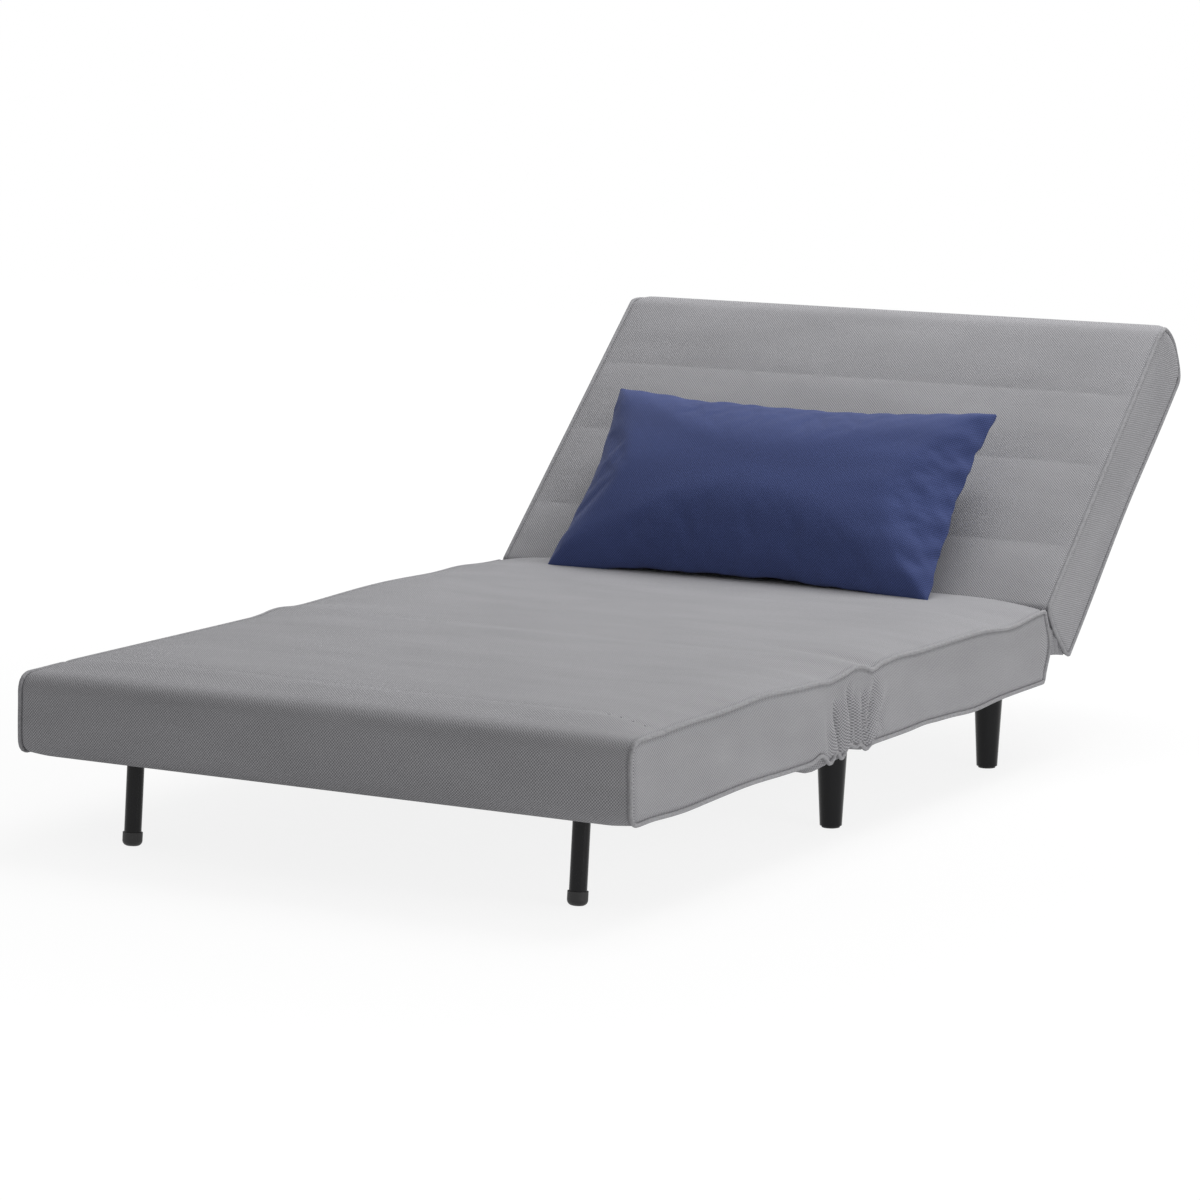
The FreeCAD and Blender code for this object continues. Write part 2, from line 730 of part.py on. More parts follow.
glides = []
plates = []
bolts = []
bolt_ways = []
for end_name, (leg_y, plate_y0, plate_y1) in plate_spans.items():
    leg = tapered_leg(leg_y)
    parts["tapered_leg_" + end_name + "_right"] = leg
    parts["tapered_leg_" + end_name + "_left"] = mirrored(leg)
    glides += both_sides(leg_glide(leg_y))
    plates += both_sides(leg_plate(leg_y, plate_y0, plate_y1))
    bolts += both_sides(leg_bolt(leg_y))
    bolt_ways += both_sides(rod((leg_spot, leg_y, leg_top - 1), (leg_spot, leg_y, rail_bottom + 1),
                                leg_bolt_radius + screw_play))
parts["leg_glides"] = group(glides)
parts["leg_plates"] = group(plates)
parts["leg_bolts"] = group(bolts)

# Tube legs of the foot section: two legs on a cross tube that turns in two brackets
pivot = (tube_pivot_distance, tube_pivot_height)
lean = math.radians(tube_leg_lean)
round_offset = cap_radius - cap_edge_radius
straight_drop = (tube_pivot_height - cap_edge_radius - round_offset * math.sin(lean)) / math.cos(lean)
leg_reach = straight_drop + cap_edge_radius
cap_top = tube_pivot_height - leg_reach + cap_height
tube_end = tube_pivot_height - leg_reach + cap_floor
bracket_x0 = tube_leg_spot + bracket_spacing
bracket_x1 = bracket_x0 + bracket_thickness
cross_tube_end = tube_leg_spot + cross_tube_overhang


def leaned(shape):
    turned = shape.copy()
    turned.rotate(Vector(0, *pivot), Vector(1, 0, 0), -tube_leg_lean)
    return turned


def cross_tube():
    outer = rod((-cross_tube_end, *pivot), (cross_tube_end, *pivot), tube_radius)
    bore = rod((-cross_tube_end - 1, *pivot), (cross_tube_end + 1, *pivot), tube_radius - tube_wall)
    return outer.cut(bore)


def leg_tube():
    top = (tube_leg_spot, *pivot)
    low = (tube_leg_spot, tube_pivot_distance, tube_end)
    tube = rod(top, low, tube_radius).cut(rod(top, low, tube_radius - tube_wall))
    cope = rod((-cross_tube_end, *pivot), (cross_tube_end, *pivot), tube_radius)
    return leaned(one_solid(tube.cut(cope)))


def rubber_cap():
    spot = (tube_leg_spot, tube_pivot_distance)
    bottom = tube_pivot_height - leg_reach
    cap = rod((*spot, bottom), (*spot, cap_top), cap_radius)
    low_edges = [edge for edge in cap.Edges if abs(edge.BoundBox.ZMax - bottom) < 0.01]
    cap = cap.makeFillet(cap_edge_radius, low_edges)
    socket = rod((*spot, tube_end), (*spot, cap_top + 1), tube_radius)
    return leaned(cap.cut(socket))


def end_plug():
    disc = rod((cross_tube_end, *pivot), (cross_tube_end + plug_disc_thickness, *pivot), tube_radius)
    stem_radius = tube_radius - tube_wall - tube_play
    stem = rod((cross_tube_end - plug_stem_length, *pivot), (cross_tube_end, *pivot), stem_radius)
    return disc.fuse(stem).removeSplitter()


def leg_bracket():
    """A plate welded to the front rail, with an eye that the cross tube turns in."""
    plate = box(bracket_x0, bracket_x1, foot_front_rail_rear, tube_pivot_distance,
                tube_pivot_height - bracket_eye_radius, tube_pivot_height + bracket_eye_radius)
    eye = rod((bracket_x0, *pivot), (bracket_x1, *pivot), bracket_eye_radius)
    bore = rod((bracket_x0 - 1, *pivot), (bracket_x1 + 1, *pivot), tube_radius + tube_play / 2)
    return plate.fuse(eye).cut(bore).removeSplitter()


def stop_tab():
    """A short bar on the front rail that the opened leg rests against."""
    level = rail_bottom + stop_tab_thickness
    drop = tube_pivot_height - rail_bottom
    leg_front = tube_pivot_distance - drop * math.tan(lean) - tube_radius / math.cos(lean)
    return box(tube_leg_spot - stop_tab_width / 2, tube_leg_spot + stop_tab_width / 2, foot_front_rail_rear,
               leg_front - stop_tab_play, rail_bottom, level)


parts["leg_cross_tube"] = cross_tube()
parts["leg_tube_right"] = leg_tube()
parts["leg_tube_left"] = mirrored(leg_tube())
parts["rubber_cap_right"] = rubber_cap()
parts["rubber_cap_left"] = mirrored(rubber_cap())
parts["cross_tube_plugs"] = group(both_sides(end_plug()))
parts["leg_pivot_brackets"] = group(both_sides(leg_bracket()))
parts["leg_stop_tabs"] = group(both_sides(stop_tab()))

# Covers and foams
leg_slots = both_sides(box(tube_leg_spot - leg_slot_width / 2, tube_leg_spot + leg_slot_width / 2,
                           tube_pivot_distance - leg_slot_front, tube_pivot_distance + leg_slot_rear,
                           underside_height - 1, rail_bottom + 1))
foot_leaf_rooms = both_sides(fold_leaf_room(rail_bottom))
seat_leaf_rooms = [to_seat_side(room) for room in foot_leaf_rooms]
foot_knuckle_rooms = both_sides(fold_leaf_room(leaf_crank_level - room_play))
seat_knuckle_rooms = [to_seat_side(room) for room in foot_knuckle_rooms]
swing_front = axis_y - stop_circle_radius - fitting_room_reach
above_crown = top_level + top_crown + crown_margin + channel_crown
seat_fitting_rooms = fitting_room(swing_front, seat_end + 1, rail_top, top_level - cover_wall)
seat_foam_rooms = fitting_room(swing_front, seat_end + 1, rail_top, above_crown)
plate_foam_rooms = fitting_room(fitting_foot_front - room_play, fitting_foot_rear + room_play, rail_top,
                                fitting_foot_top + room_play)
back_wall_rooms = fitting_room(back_start - 1, back_start + cover_wall + 1, back_bottom + back_low_radius,
                               top_level - cover_wall)
back_foam_rooms = fitting_room(back_start - 1, back_foot_end + room_play, back_rail_top, above_crown)


def foam_above(body, level):
    return one_solid(body.common(box(-reach, reach, -reach, reach, level, reach)))


def cover_of(body, openings):
    return one_solid(body(0).cut(body(cover_wall)).cut(openings))


def foam_of(body, level, openings):
    return one_solid(foam_above(body(cover_wall + foam_clearance), level).cut(openings))


parts["foot_cover"] = cover_of(foot_body, leg_slots + foot_knuckle_rooms)
parts["foot_foam"] = foam_of(foot_body, slat_top, foot_leaf_rooms)
parts["seat_cover"] = cover_of(seat_body, bolt_ways + seat_knuckle_rooms + seat_fitting_rooms)
parts["seat_foam"] = foam_of(seat_body, slat_top, seat_leaf_rooms + seat_foam_rooms + plate_foam_rooms)

# Back section, drawn flat and then tilted
back_top_rail_end = back_end - back_top_rail_inset
back_top_rail_start = back_top_rail_end - rail_width
back_parts = {}
back_parts["back_rail_bottom"] = tube_rail(-back_rail_outer, back_rail_outer, back_rail_start,
                                           back_rail_start + rail_width, back_rail_bottom, back_rail_top, "x")
back_parts["back_rail_top"] = tube_rail(-back_rail_outer, back_rail_outer, back_top_rail_start,
                                        back_top_rail_end, back_rail_bottom, back_rail_top, "x")
back_side_rail = tube_rail(back_rail_inner, back_rail_outer, back_rail_start + rail_width,
                           back_top_rail_start, back_rail_bottom, back_rail_top, "y")
back_side_rail = back_side_rail.cut(back_screw_ways(back_rail_inner - 1, back_rail_outer + 1))
back_parts["back_rail_right"] = back_side_rail
back_parts["back_rail_left"] = mirrored(back_side_rail)
first_back_slat = back_foot_end + slat_width / 2 + slat_fitting_margin
last_back_slat = back_top_rail_start - slat_width / 2 - back_slat_margin
back_parts["back_slats"] = group(slats(first_back_slat, last_back_slat, back_rail_top,
                                       back_rail_outer - slat_end_inset))
back_parts["recline_back_plates"] = group(both_sides(back_plate()))
back_fitting_screws = []
for shape in fitting_screws(back_screw_spots, back_screw_level, back_plate_x0, back_rail_outer):
    back_fitting_screws += both_sides(shape)
back_parts["recline_back_screws"] = group(back_fitting_screws)
stop_pin = rod((back_plate_x0, *stop_spot), (seat_plate_x1 + stop_pin_overhang, *stop_spot), stop_pin_radius)
back_parts["recline_stop_pins"] = group(both_sides(stop_pin))
back_parts["back_cover"] = cover_of(back_body, back_wall_rooms)
back_parts["back_foam"] = foam_of(back_body, back_rail_top + slat_thickness, back_foam_rooms)

for name, shape in back_parts.items():
    tilted = shape.copy()
    tilted.rotate(Vector(0, axis_y, axis_z), Vector(1, 0, 0), back_rest_angle)
    parts[name] = tilted


# Pillow: lens-shaped slices from one end seam to the other, drawn standing on its long edge

def pillow_slice(share, inset):
    """One slice, where share runs from -1 to 1 across the width."""
    fullness = math.sqrt(max(pillow_end_fullness ** 2, 1 - abs(share) ** pillow_swell))
    half = (pillow_edge + (pillow_thickness - pillow_edge) * fullness) / 2 - inset
    dip = pillow_edge_dip * (1 - share * share)
    low = dip / 2 + inset
    high = pillow_height - dip - inset
    edge = pillow_edge / 2 - inset / 2
    x = share * (pillow_width / 2 - inset)
    middle = (low + high) / 2
    return Part.Wire([
        Part.Arc(Vector(x, -edge, low), Vector(x, -half, middle), Vector(x, -edge, high)).toShape(),
        Part.LineSegment(Vector(x, -edge, high), Vector(x, edge, high)).toShape(),
        Part.Arc(Vector(x, edge, high), Vector(x, half, middle), Vector(x, edge, low)).toShape(),
        Part.LineSegment(Vector(x, edge, low), Vector(x, -edge, low)).toShape(),
    ])


def pillow_body(inset):
    body = Part.makeLoft([pillow_slice(share, inset) for share in pillow_slices], True, False)
    body.rotate(Vector(0, 0, 0), Vector(1, 0, 0), pillow_lean - 90)
    body.rotate(Vector(0, 0, 0), Vector(0, 0, 1), pillow_turn)
    body.translate(Vector(pillow_centre, axis_y - pillow_forward, top_level + pillow_lift))
    return body


parts["pillow_cover"] = pillow_body(0).cut(pillow_body(pillow_wall))
parts["pillow_filling"] = pillow_body(pillow_wall + foam_clearance)

# Move the bed so that its middle is over Y = 0, check every piece and write it
whole = group(list(parts.values()))
extent = whole.optimalBoundingBox(False, False)
middle_y = (extent.YMin + extent.YMax) / 2
os.makedirs("parts", exist_ok=True)
for name, shape in parts.items():
    placed = shape.copy()
    placed.translate(Vector(0, -middle_y, 0))
    if not placed.isValid() or not placed.Solids:
        print("not a sound solid:", name)
    placed.exportStep("parts/" + name + ".step")

print("pieces", len(parts), "middle", round(middle_y, 3), "height", round(extent.ZMax, 2),
      "lowest", round(extent.ZMin, 3))
print("fold axis", round(fold_y - middle_y, 3), round(fold_z, 3))
print("back axis", round(axis_y - middle_y, 3), round(axis_z, 3))
print("leg pivot", round(tube_pivot_distance - middle_y, 3), round(tube_pivot_height, 3))
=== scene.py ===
import math

import bmesh
import bpy
import numpy as np
from mathutils import Matrix, Vector


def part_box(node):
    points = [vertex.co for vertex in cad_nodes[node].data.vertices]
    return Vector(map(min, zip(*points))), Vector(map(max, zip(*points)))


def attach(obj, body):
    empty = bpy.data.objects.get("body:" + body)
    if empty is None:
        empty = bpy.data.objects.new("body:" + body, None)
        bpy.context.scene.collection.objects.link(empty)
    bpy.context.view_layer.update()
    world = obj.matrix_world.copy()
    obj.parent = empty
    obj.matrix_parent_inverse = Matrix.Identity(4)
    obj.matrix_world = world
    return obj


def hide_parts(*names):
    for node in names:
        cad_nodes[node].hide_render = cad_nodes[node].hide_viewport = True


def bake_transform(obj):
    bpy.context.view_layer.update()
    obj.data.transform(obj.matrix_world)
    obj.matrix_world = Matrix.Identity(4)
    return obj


# A chair bed for one person, opened out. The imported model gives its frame, hinges and legs.
# The cushions, covers and pillow are made here around it, in the order they are put together.
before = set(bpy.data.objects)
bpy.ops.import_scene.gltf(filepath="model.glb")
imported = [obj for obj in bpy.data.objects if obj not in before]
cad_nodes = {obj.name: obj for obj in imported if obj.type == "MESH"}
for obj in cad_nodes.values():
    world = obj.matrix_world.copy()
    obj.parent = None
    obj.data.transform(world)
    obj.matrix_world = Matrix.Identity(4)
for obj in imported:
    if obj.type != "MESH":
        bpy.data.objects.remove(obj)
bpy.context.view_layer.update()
foot_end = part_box("foot_cover")[0].y


# Steel frames of the three sections
# Square tubes welded into an oblong and dipped in black paint. The cushions hide them, and
# only the ends of the folding fittings and the tube legs ever show.

def material_of(name):
    """A new material with its node tree and its Principled shader."""
    material = bpy.data.materials.new(name)
    material.use_nodes = True
    return material, material.node_tree, material.node_tree.nodes["Principled BSDF"]


def add_node(tree, kind, inputs=None, **settings):
    """A new node, with the inputs that are sockets linked and the others set."""
    node = tree.nodes.new(kind)
    for key, value in settings.items():
        setattr(node, key, value)
    for key, value in (inputs or {}).items():
        if isinstance(value, bpy.types.NodeSocket):
            tree.links.new(value, node.inputs[key])
        else:
            node.inputs[key].default_value = value
    return node


def object_place(tree):
    return add_node(tree, "ShaderNodeTexCoord").outputs["Object"]


def noise(tree, place, scale, **more):
    """Cloudy values from 0 to 1. The larger the scale, the finer they are."""
    return add_node(tree, "ShaderNodeTexNoise", {"Vector": place, "Scale": scale, **more}).outputs[0]


def shade_range(tree, source, low, high):
    """Carries a 0 to 1 value over to the range from low to high."""
    limits = {"Value": source, "To Min": low, "To Max": high}
    return add_node(tree, "ShaderNodeMapRange", limits).outputs[0]


def tint(tree, share, dark, light):
    """A colour between the dark and the light one."""
    mix = add_node(tree, "ShaderNodeMix", {"Factor": share}, data_type="RGBA")
    mix.inputs["A"].default_value = (*dark, 1)
    mix.inputs["B"].default_value = (*light, 1)
    return mix.outputs["Result"]


def raise_surface(tree, shader, height, strength, depth):
    """Fine relief on a surface, with its depth in metres."""
    bump = add_node(tree, "ShaderNodeBump", {"Height": height, "Strength": strength, "Distance": depth})
    tree.links.new(bump.outputs[0], shader.inputs["Normal"])


def painted_steel(name, dark, light, roughness, peel_scale):
    """Sprayed paint: a faint orange peel, and a gloss that changes a little from place to place."""
    material, tree, shader = material_of(name)
    place = object_place(tree)
    cloud = noise(tree, place, 22.0, Detail=4.0)
    peel = noise(tree, place, peel_scale, Detail=2.0)
    gloss = shade_range(tree, cloud, roughness * 0.8, roughness * 1.25)
    tree.links.new(tint(tree, cloud, dark, light), shader.inputs["Base Color"])
    tree.links.new(gloss, shader.inputs["Roughness"])
    raise_surface(tree, shader, peel, 0.06, 0.0004)
    return material


def dress(material, *names):
    """Gives CAD pieces their finish."""
    for name in names:
        mesh = cad_nodes[name].data
        mesh.materials.clear()
        mesh.materials.append(material)


frame_paint = painted_steel("frame_paint", (0.018, 0.018, 0.02), (0.03, 0.03, 0.032), 0.42, 900.0)
for section in ("seat", "foot"):
    dress(frame_paint, *[f"{section}_rail_{side}" for side in ("left", "right", "front", "rear")])
dress(frame_paint, *[f"back_rail_{side}" for side in ("left", "right", "top", "bottom")])
dress(frame_paint, "leg_plates", "leg_pivot_brackets", "leg_stop_tabs")


# Sprung slats
# Bent beech slats, lacquered and screwed across each frame under the foam.

def slat_wood():
    """Pale beech with its grain along the slats."""
    material, tree, shader = material_of("slat_wood")
    stretched = {"Vector": object_place(tree), "Scale": (2.0, 40.0, 40.0)}
    along = add_node(tree, "ShaderNodeMapping", stretched).outputs[0]
    grain = noise(tree, along, 6.0, Detail=8.0)
    colour = tint(tree, grain, (0.42, 0.26, 0.13), (0.72, 0.53, 0.33))
    tree.links.new(colour, shader.inputs["Base Color"])
    tree.links.new(shade_range(tree, grain, 0.38, 0.55), shader.inputs["Roughness"])
    return material


dress(slat_wood(), "seat_slats", "foot_slats", "back_slats")


# Fold hinges and recline fittings
# Pressed steel leaves, arms and pins with a zinc finish. They join the sections inside the covers.

def zinc_plate():
    """Zinc with its crystals and a fine brushing."""
    material, tree, shader = material_of("zinc_plate")
    place = object_place(tree)
    crystals = add_node(tree, "ShaderNodeTexVoronoi", {"Vector": place, "Scale": 160.0}).outputs["Color"]
    brushed = noise(tree, place, 260.0, Detail=3.0)
    colour = tint(tree, crystals, (0.5, 0.5, 0.52), (0.66, 0.66, 0.68))
    tree.links.new(colour, shader.inputs["Base Color"])
    tree.links.new(shade_range(tree, brushed, 0.28, 0.45), shader.inputs["Roughness"])
    shader.inputs["Metallic"].default_value = 1.0
    return material


dress(zinc_plate(), "fold_hinge_seat_leaves", "fold_hinge_foot_leaves", "fold_hinge_pins",
      "fold_hinge_seat_screws", "fold_hinge_foot_screws", "recline_seat_plates", "recline_back_plates",
      "recline_pivot_pins", "recline_stop_pins", "recline_seat_screws", "recline_back_screws", "leg_bolts")


# Legs
# Four turned legs in black gloss lacquer stand under the seat, on plastic glides. Two painted
# tubes with rubber caps carry the foot end and fold up into it.

tapered_legs = [f"tapered_leg_{end}_{side}" for end in ("front", "rear") for side in ("left", "right")]
leg_gloss = painted_steel("leg_gloss", (0.003, 0.003, 0.004), (0.006, 0.006, 0.007), 0.2, 700.0)
tube_paint = painted_steel("tube_paint", (0.004, 0.004, 0.005), (0.008, 0.008, 0.009), 0.26, 1200.0)
for lacquer in (leg_gloss, tube_paint):
    lacquer.node_tree.nodes["Principled BSDF"].inputs["Specular IOR Level"].default_value = 0.22
moulded_rubber = painted_steel("moulded_rubber", (0.006, 0.006, 0.006), (0.012, 0.012, 0.012), 0.5, 1600.0)
dress(leg_gloss, *tapered_legs)
dress(tube_paint, "leg_cross_tube", "leg_tube_left", "leg_tube_right")
dress(moulded_rubber, "rubber_cap_left", "rubber_cap_right", "leg_glides", "cross_tube_plugs")


# Foot and seat cover
# One padded cover of woven grey cloth holds both foams. Its top runs on over the front roll,
# and its sides are gathered at the fold so that the foot can turn over onto the seat.

def grid_block(name, rows):
    """A cube of half size 1, parted into rows along X, Y and Z."""
    bpy.ops.object.select_all(action="DESELECT")
    bpy.ops.mesh.primitive_cube_add(size=2, location=(0, 0, 0))
    block = bpy.context.object
    block.name = name
    block.data.name = name
    bpy.ops.object.mode_set(mode="EDIT")
    for axis, count in enumerate(rows):
        bm = bmesh.from_edit_mesh(block.data)
        bpy.ops.mesh.select_all(action="DESELECT")
        for edge in bm.edges:
            # An edge along an axis that isn't parted yet still has its full length of 2
            span = edge.verts[1].co - edge.verts[0].co
            edge.select_set(abs(span[axis]) > 1.5)
        bmesh.update_edit_mesh(block.data)
        bpy.ops.mesh.subdivide(number_cuts=count - 1)
    bpy.ops.object.mode_set(mode="OBJECT")
    return block


def read_points(piece):
    points = np.zeros(len(piece.data.vertices) * 3)
    piece.data.vertices.foreach_get("co", points)
    return points.reshape(-1, 3)


def write_points(piece, points):
    piece.data.vertices.foreach_set("co", points.ravel())
    piece.data.update()


def ease(value):
    """0 before 0, 1 after 1, and a smooth rise between."""
    t = np.clip(value, 0, 1)
    return t * t * (3 - 2 * t)


def hump(distance, width):
    """1 in the middle, about a third one width away, and soon nothing."""
    return np.exp(-(distance / width) ** 2)


def fade(distance, reach):
    """1 at the start, and about a third of itself with each further reach."""
    return np.exp(-np.abs(distance) / reach)


def waves(place, bumps):
    """Low smooth rises, each given by its middle, half width and height."""
    total = np.zeros_like(place)
    for middle, width, height in bumps:
        total += height * hump(place - middle, width)
    return total


def round_edge(first, second, radius):
    """Turns the edge where two faces meet into an arc. Takes and gives depths below the faces."""
    u = np.clip(1 - first / radius, 0, 1)
    v = np.clip(1 - second / radius, 0, 1)
    rounded_first = first + radius * (u - u * np.sqrt(1 - v * v / 2))
    rounded_second = second + radius * (v - v * np.sqrt(1 - u * u / 2))
    return rounded_first, rounded_second


# Rows of the mesh beside an edge, where the cloth meets its piping, in millimetres from it
edge_steps = np.array([0.0, 2.0, 4.0, 6.0, 8.5, 12.0, 17.0, 24.0])
edge_reach = edge_steps[-1]


def stations(low, high, pitch):
    """Places from low to high, close together at both ends and a pitch apart between."""
    first, last = low + edge_steps, high - edge_steps[::-1]
    count = max(round((last[0] - first[-1]) / pitch), 1)
    return np.concatenate([first[:-1], np.linspace(first[-1], last[0], count + 1), last[1:]])


def at_station(block_place, places):
    """Carries a place from -1 to 1 on the block over to the stations."""
    return np.interp((block_place + 1) / 2 * (len(places) - 1), np.arange(len(places)), places)


seam_dip_depth = 3.0
seam_dip_place = 4.5
seam_dip_width = 2.4
seam_reach = 12.0


def seam_dip(distance):
    """How far the cloth is drawn in beside its piping."""
    return seam_dip_depth * hump(distance - seam_dip_place, seam_dip_width)


# Sizes of the cover in millimetres, with places along it measured from the foot end
half_width = 500.0
bed_end = 1345.0
fold_place = 670.0
top_piping_level = 253.0
bottom_piping_level = 136.0
bed_height = top_piping_level - bottom_piping_level
top_crown = 13.0
crown_width = 150.0
crown_fullness = 2.3
side_corner_radius = 5.0
front_top_radius = 28.0
front_low_radius = 22.0
rear_top_radius = 12.0
rear_low_radius = 10.0
front_bulge = 5.0
front_bulge_width = 30.0
rear_bulge = 24.0
rear_bulge_width = 14.0
rear_bulge_low = 140.0
rear_bulge_height = 105.0
side_panel_start = 470.0
side_panel_turn = 25.0
side_slack = 1.5

# The row of stitches behind the front roll, and the dent at the fold
stitch_line = 112.0
stitch_bend = 26.0
stitch_bend_start = 380.0
stitch_bend_length = 120.0
stitch_depth = 1.8
stitch_reach = 4.5
fold_depth = 1.2
fold_width = 16.0

# Slots in the underside that the tube legs fold into
slot_place = 368.0
slot_half_width = 22.0
slot_start = 62.0
slot_finish = 306.0
slot_depth = 44.0
slot_edge = 9.0

# Cloth that hangs slack under the foot, in front of the fold
sag_place = 578.0
sag_width = 78.0
sag_depth = 19.0
underside_sag = 3.0

# How the piping runs up and down: middle, half width and height of each wave
right_top_waves = [(170, 90, 3), (375, 95, 7), (584, 28, -3), (668, 30, 6), (723, 18, -6), (812, 40, 3),
                   (1215, 75, -9)]
left_top_waves = [(40, 60, -1), (661, 40, 5), (960, 200, 8), (1204, 60, 4)]
bottom_waves = [(60, 30, 1), (150, 60, -2), (340, 90, 3), (560, 18, 7), (589, 13, -9), (609, 8, 6),
                (627, 10, -7), (652, 13, 9), (684, 12, 5), (706, 12, -6), (900, 40, 2), (1080, 70, -5)]

# Rows of the mesh, closest together at the stitches and at the gathers
bed_across = stations(-half_width, half_width, 10)
bed_upward = stations(0, bed_height, 7)
stitches_start, stitches_finish = 78, 126
gathers_start, gathers_finish = 540, 790
bed_along = np.concatenate([
    edge_steps,
    np.linspace(edge_reach, stitches_start, 7)[1:],
    np.linspace(stitches_start, stitches_finish, 17)[1:],
    np.linspace(stitches_finish, gathers_start, 36)[1:],
    np.linspace(gathers_start, gathers_finish, 100)[1:],
    np.linspace(gathers_finish, bed_end - edge_reach, 46)[1:-1],
    bed_end - edge_steps[::-1],
])


def crown_at(x):
    """How far the cloth has risen from its piped edge, from 0 to 1."""
    return 1 - (1 - np.clip((half_width - np.abs(x)) / crown_width, 0, 1)) ** crown_fullness


def stitch_place(x):
    """The row of stitches across the foot end, which bends forward near the right side."""
    return stitch_line - stitch_bend * ease((x - stitch_bend_start) / stitch_bend_length)


def bed_top_level(x, y):
    """Level of the cover's top: waves at its piping, its crown, the seam, the fold and ripples."""
    beside = ease((np.abs(x) - 260) / 240)
    edge = np.where(x > 0, waves(y, right_top_waves), waves(y, left_top_waves)) * beside
    behind_roll = 0.3 + 0.7 * ease((y - 15) / 85)
    crown = crown_at(x)
    seam = stitch_depth * fade(y - stitch_place(x), stitch_reach)
    fold = fold_depth * hump(y - fold_place, fold_width) * crown
    ripples = 0.5 * np.sin(y / 61 + x / 240) + 0.35 * np.sin(y / 33 - x / 170 + 2)
    return top_piping_level + edge + top_crown * crown * behind_roll - seam - fold + ripples * crown


def bed_bottom_level(x, y):
    """Level of the cover's underside: waves at its piping, slack cloth and the slots for the legs."""
    inside = ease((half_width - np.abs(x)) / 45)
    sag = (sag_depth * hump(y - sag_place, sag_width) + underside_sag) * inside
    in_slot = ease((slot_half_width - np.abs(np.abs(x) - slot_place)) / slot_edge)
    slot = in_slot * ease((y - slot_start) / slot_edge) * ease((slot_finish - y) / slot_edge)
    edge = waves(y, bottom_waves) * (0.25 + 0.75 * ease((np.abs(x) - 440) / 50))
    return bottom_piping_level + edge - sag + slot_depth * slot


# Creases of the gathered side: start and end as Y and Z, half width, and depth into the cushion
side_creases = [
    ((604, 226), (619, 132), 5.0, 24.0),
    ((627, 242), (640, 140), 6.0, -8.0),
    ((645, 244), (654, 140), 4.5, 20.0),
    ((655, 236), (662, 140), 3.0, -4.0),
    ((667, 236), (668, 140), 3.5, 8.0),
    ((684, 232), (679, 140), 4.0, -7.0),
    ((700, 228), (685, 142), 4.5, 18.0),
    ((722, 246), (693, 142), 4.5, -5.0),
    ((738, 236), (703, 140), 4.5, 16.0),
    ((766, 232), (716, 136), 6.0, -6.0),
    ((782, 214), (730, 136), 5.0, 3.0),
    ((722, 250), (739, 206), 3.5, 2.4),
    ((575, 212), (590, 134), 7.0, 4.0),
    ((596, 190), (605, 134), 4.0, -5.0),
]


def side_gathers(y, z):
    """How far the side cloth stands in (+) or out (-) at its creases near the fold."""
    depth = np.zeros_like(y)
    for (y0, z0), (y1, z1), width, deep in side_creases:
        length = math.hypot(y1 - y0, z1 - z0)
        along = ((y - y0) * (y1 - y0) + (z - z0) * (z1 - z0)) / length
        across = ((y - y0) * (z1 - z0) - (z - z0) * (y1 - y0)) / length
        share = ease(along / (0.5 * length))
        width_here = width * (1.25 - 0.5 * np.clip(along / length, 0, 1))
        depth += deep * share * hump(across, width_here)
    return depth


def side_panel(x):
    """1 on the side panels and 0 between them."""
    return ease((np.abs(x) - side_panel_start) / side_panel_turn)


def beside_seam(share):
    """1 at both faces of a cushion, whose shares run from 0 to 1, and 0 between them."""
    return ease((np.abs(2 * share - 1) - 0.75) / 0.2)


def place_bed(block):
    """Carries points of the block over to the foot and seat cover, in millimetres from the foot end."""
    x = at_station(block[:, 0], bed_across)
    y = at_station(block[:, 1], bed_along)
    up = at_station(block[:, 2], bed_upward)
    from_side = half_width - np.abs(x)
    from_outline = np.minimum(np.minimum(up, bed_height - up), np.minimum(y, bed_end - y))
    beside, above, below, before, behind = from_side, bed_height - up, up, y, bed_end - y
    upper = up > bed_height / 2
    beside, near = round_edge(beside, np.where(upper, above, below), side_corner_radius)
    above, below = np.where(upper, near, above), np.where(upper, below, near)
    beside, before = round_edge(beside, before, side_corner_radius)
    beside, behind = round_edge(beside, behind, side_corner_radius)
    before, above = round_edge(before, above, front_top_radius)
    before, below = round_edge(before, below, front_low_radius)
    behind, above = round_edge(behind, above, rear_top_radius)
    behind, below = round_edge(behind, below, rear_low_radius)
    up = np.where(upper, 1 - above / bed_height, below / bed_height)
    y = np.where(y < fold_place, before, bed_end - behind)
    dip = seam_dip(from_side)
    y = y + dip * (hump(before, seam_reach) - hump(behind, seam_reach))
    x = np.sign(x) * (half_width - beside)
    low_level = bed_bottom_level(x, y)
    z = low_level + up * (bed_top_level(x, y) - low_level)
    z = z - dip * np.sign(up - 0.5) * beside_seam(up)
    middle = np.sin(np.pi * np.clip(up, 0, 1))
    forward = front_bulge * hump(y, front_bulge_width) * middle * (1 - (x / half_width) ** 4)
    rear_middle = np.sin(np.pi * np.clip((z - rear_bulge_low) / rear_bulge_height, 0, 1))
    backward = rear_bulge * hump(bed_end - y, rear_bulge_width) * rear_middle ** 1.5
    drape = (0.8 * np.sin(y / 17 + z / 50) + 1.4 * np.sin(y / 47 + z / 33)) * middle
    gathers = side_gathers(y, z) * ease(from_outline / 9)
    inward = (side_slack * middle + gathers + drape + seam_dip(from_outline)) * side_panel(x)
    return np.column_stack([x - np.sign(x) * inward, y - forward + backward, z])


def to_frame(points):
    """From millimetres measured from the foot end to metres in the frame."""
    return points / 1000 + np.array([0, foot_end, 0])


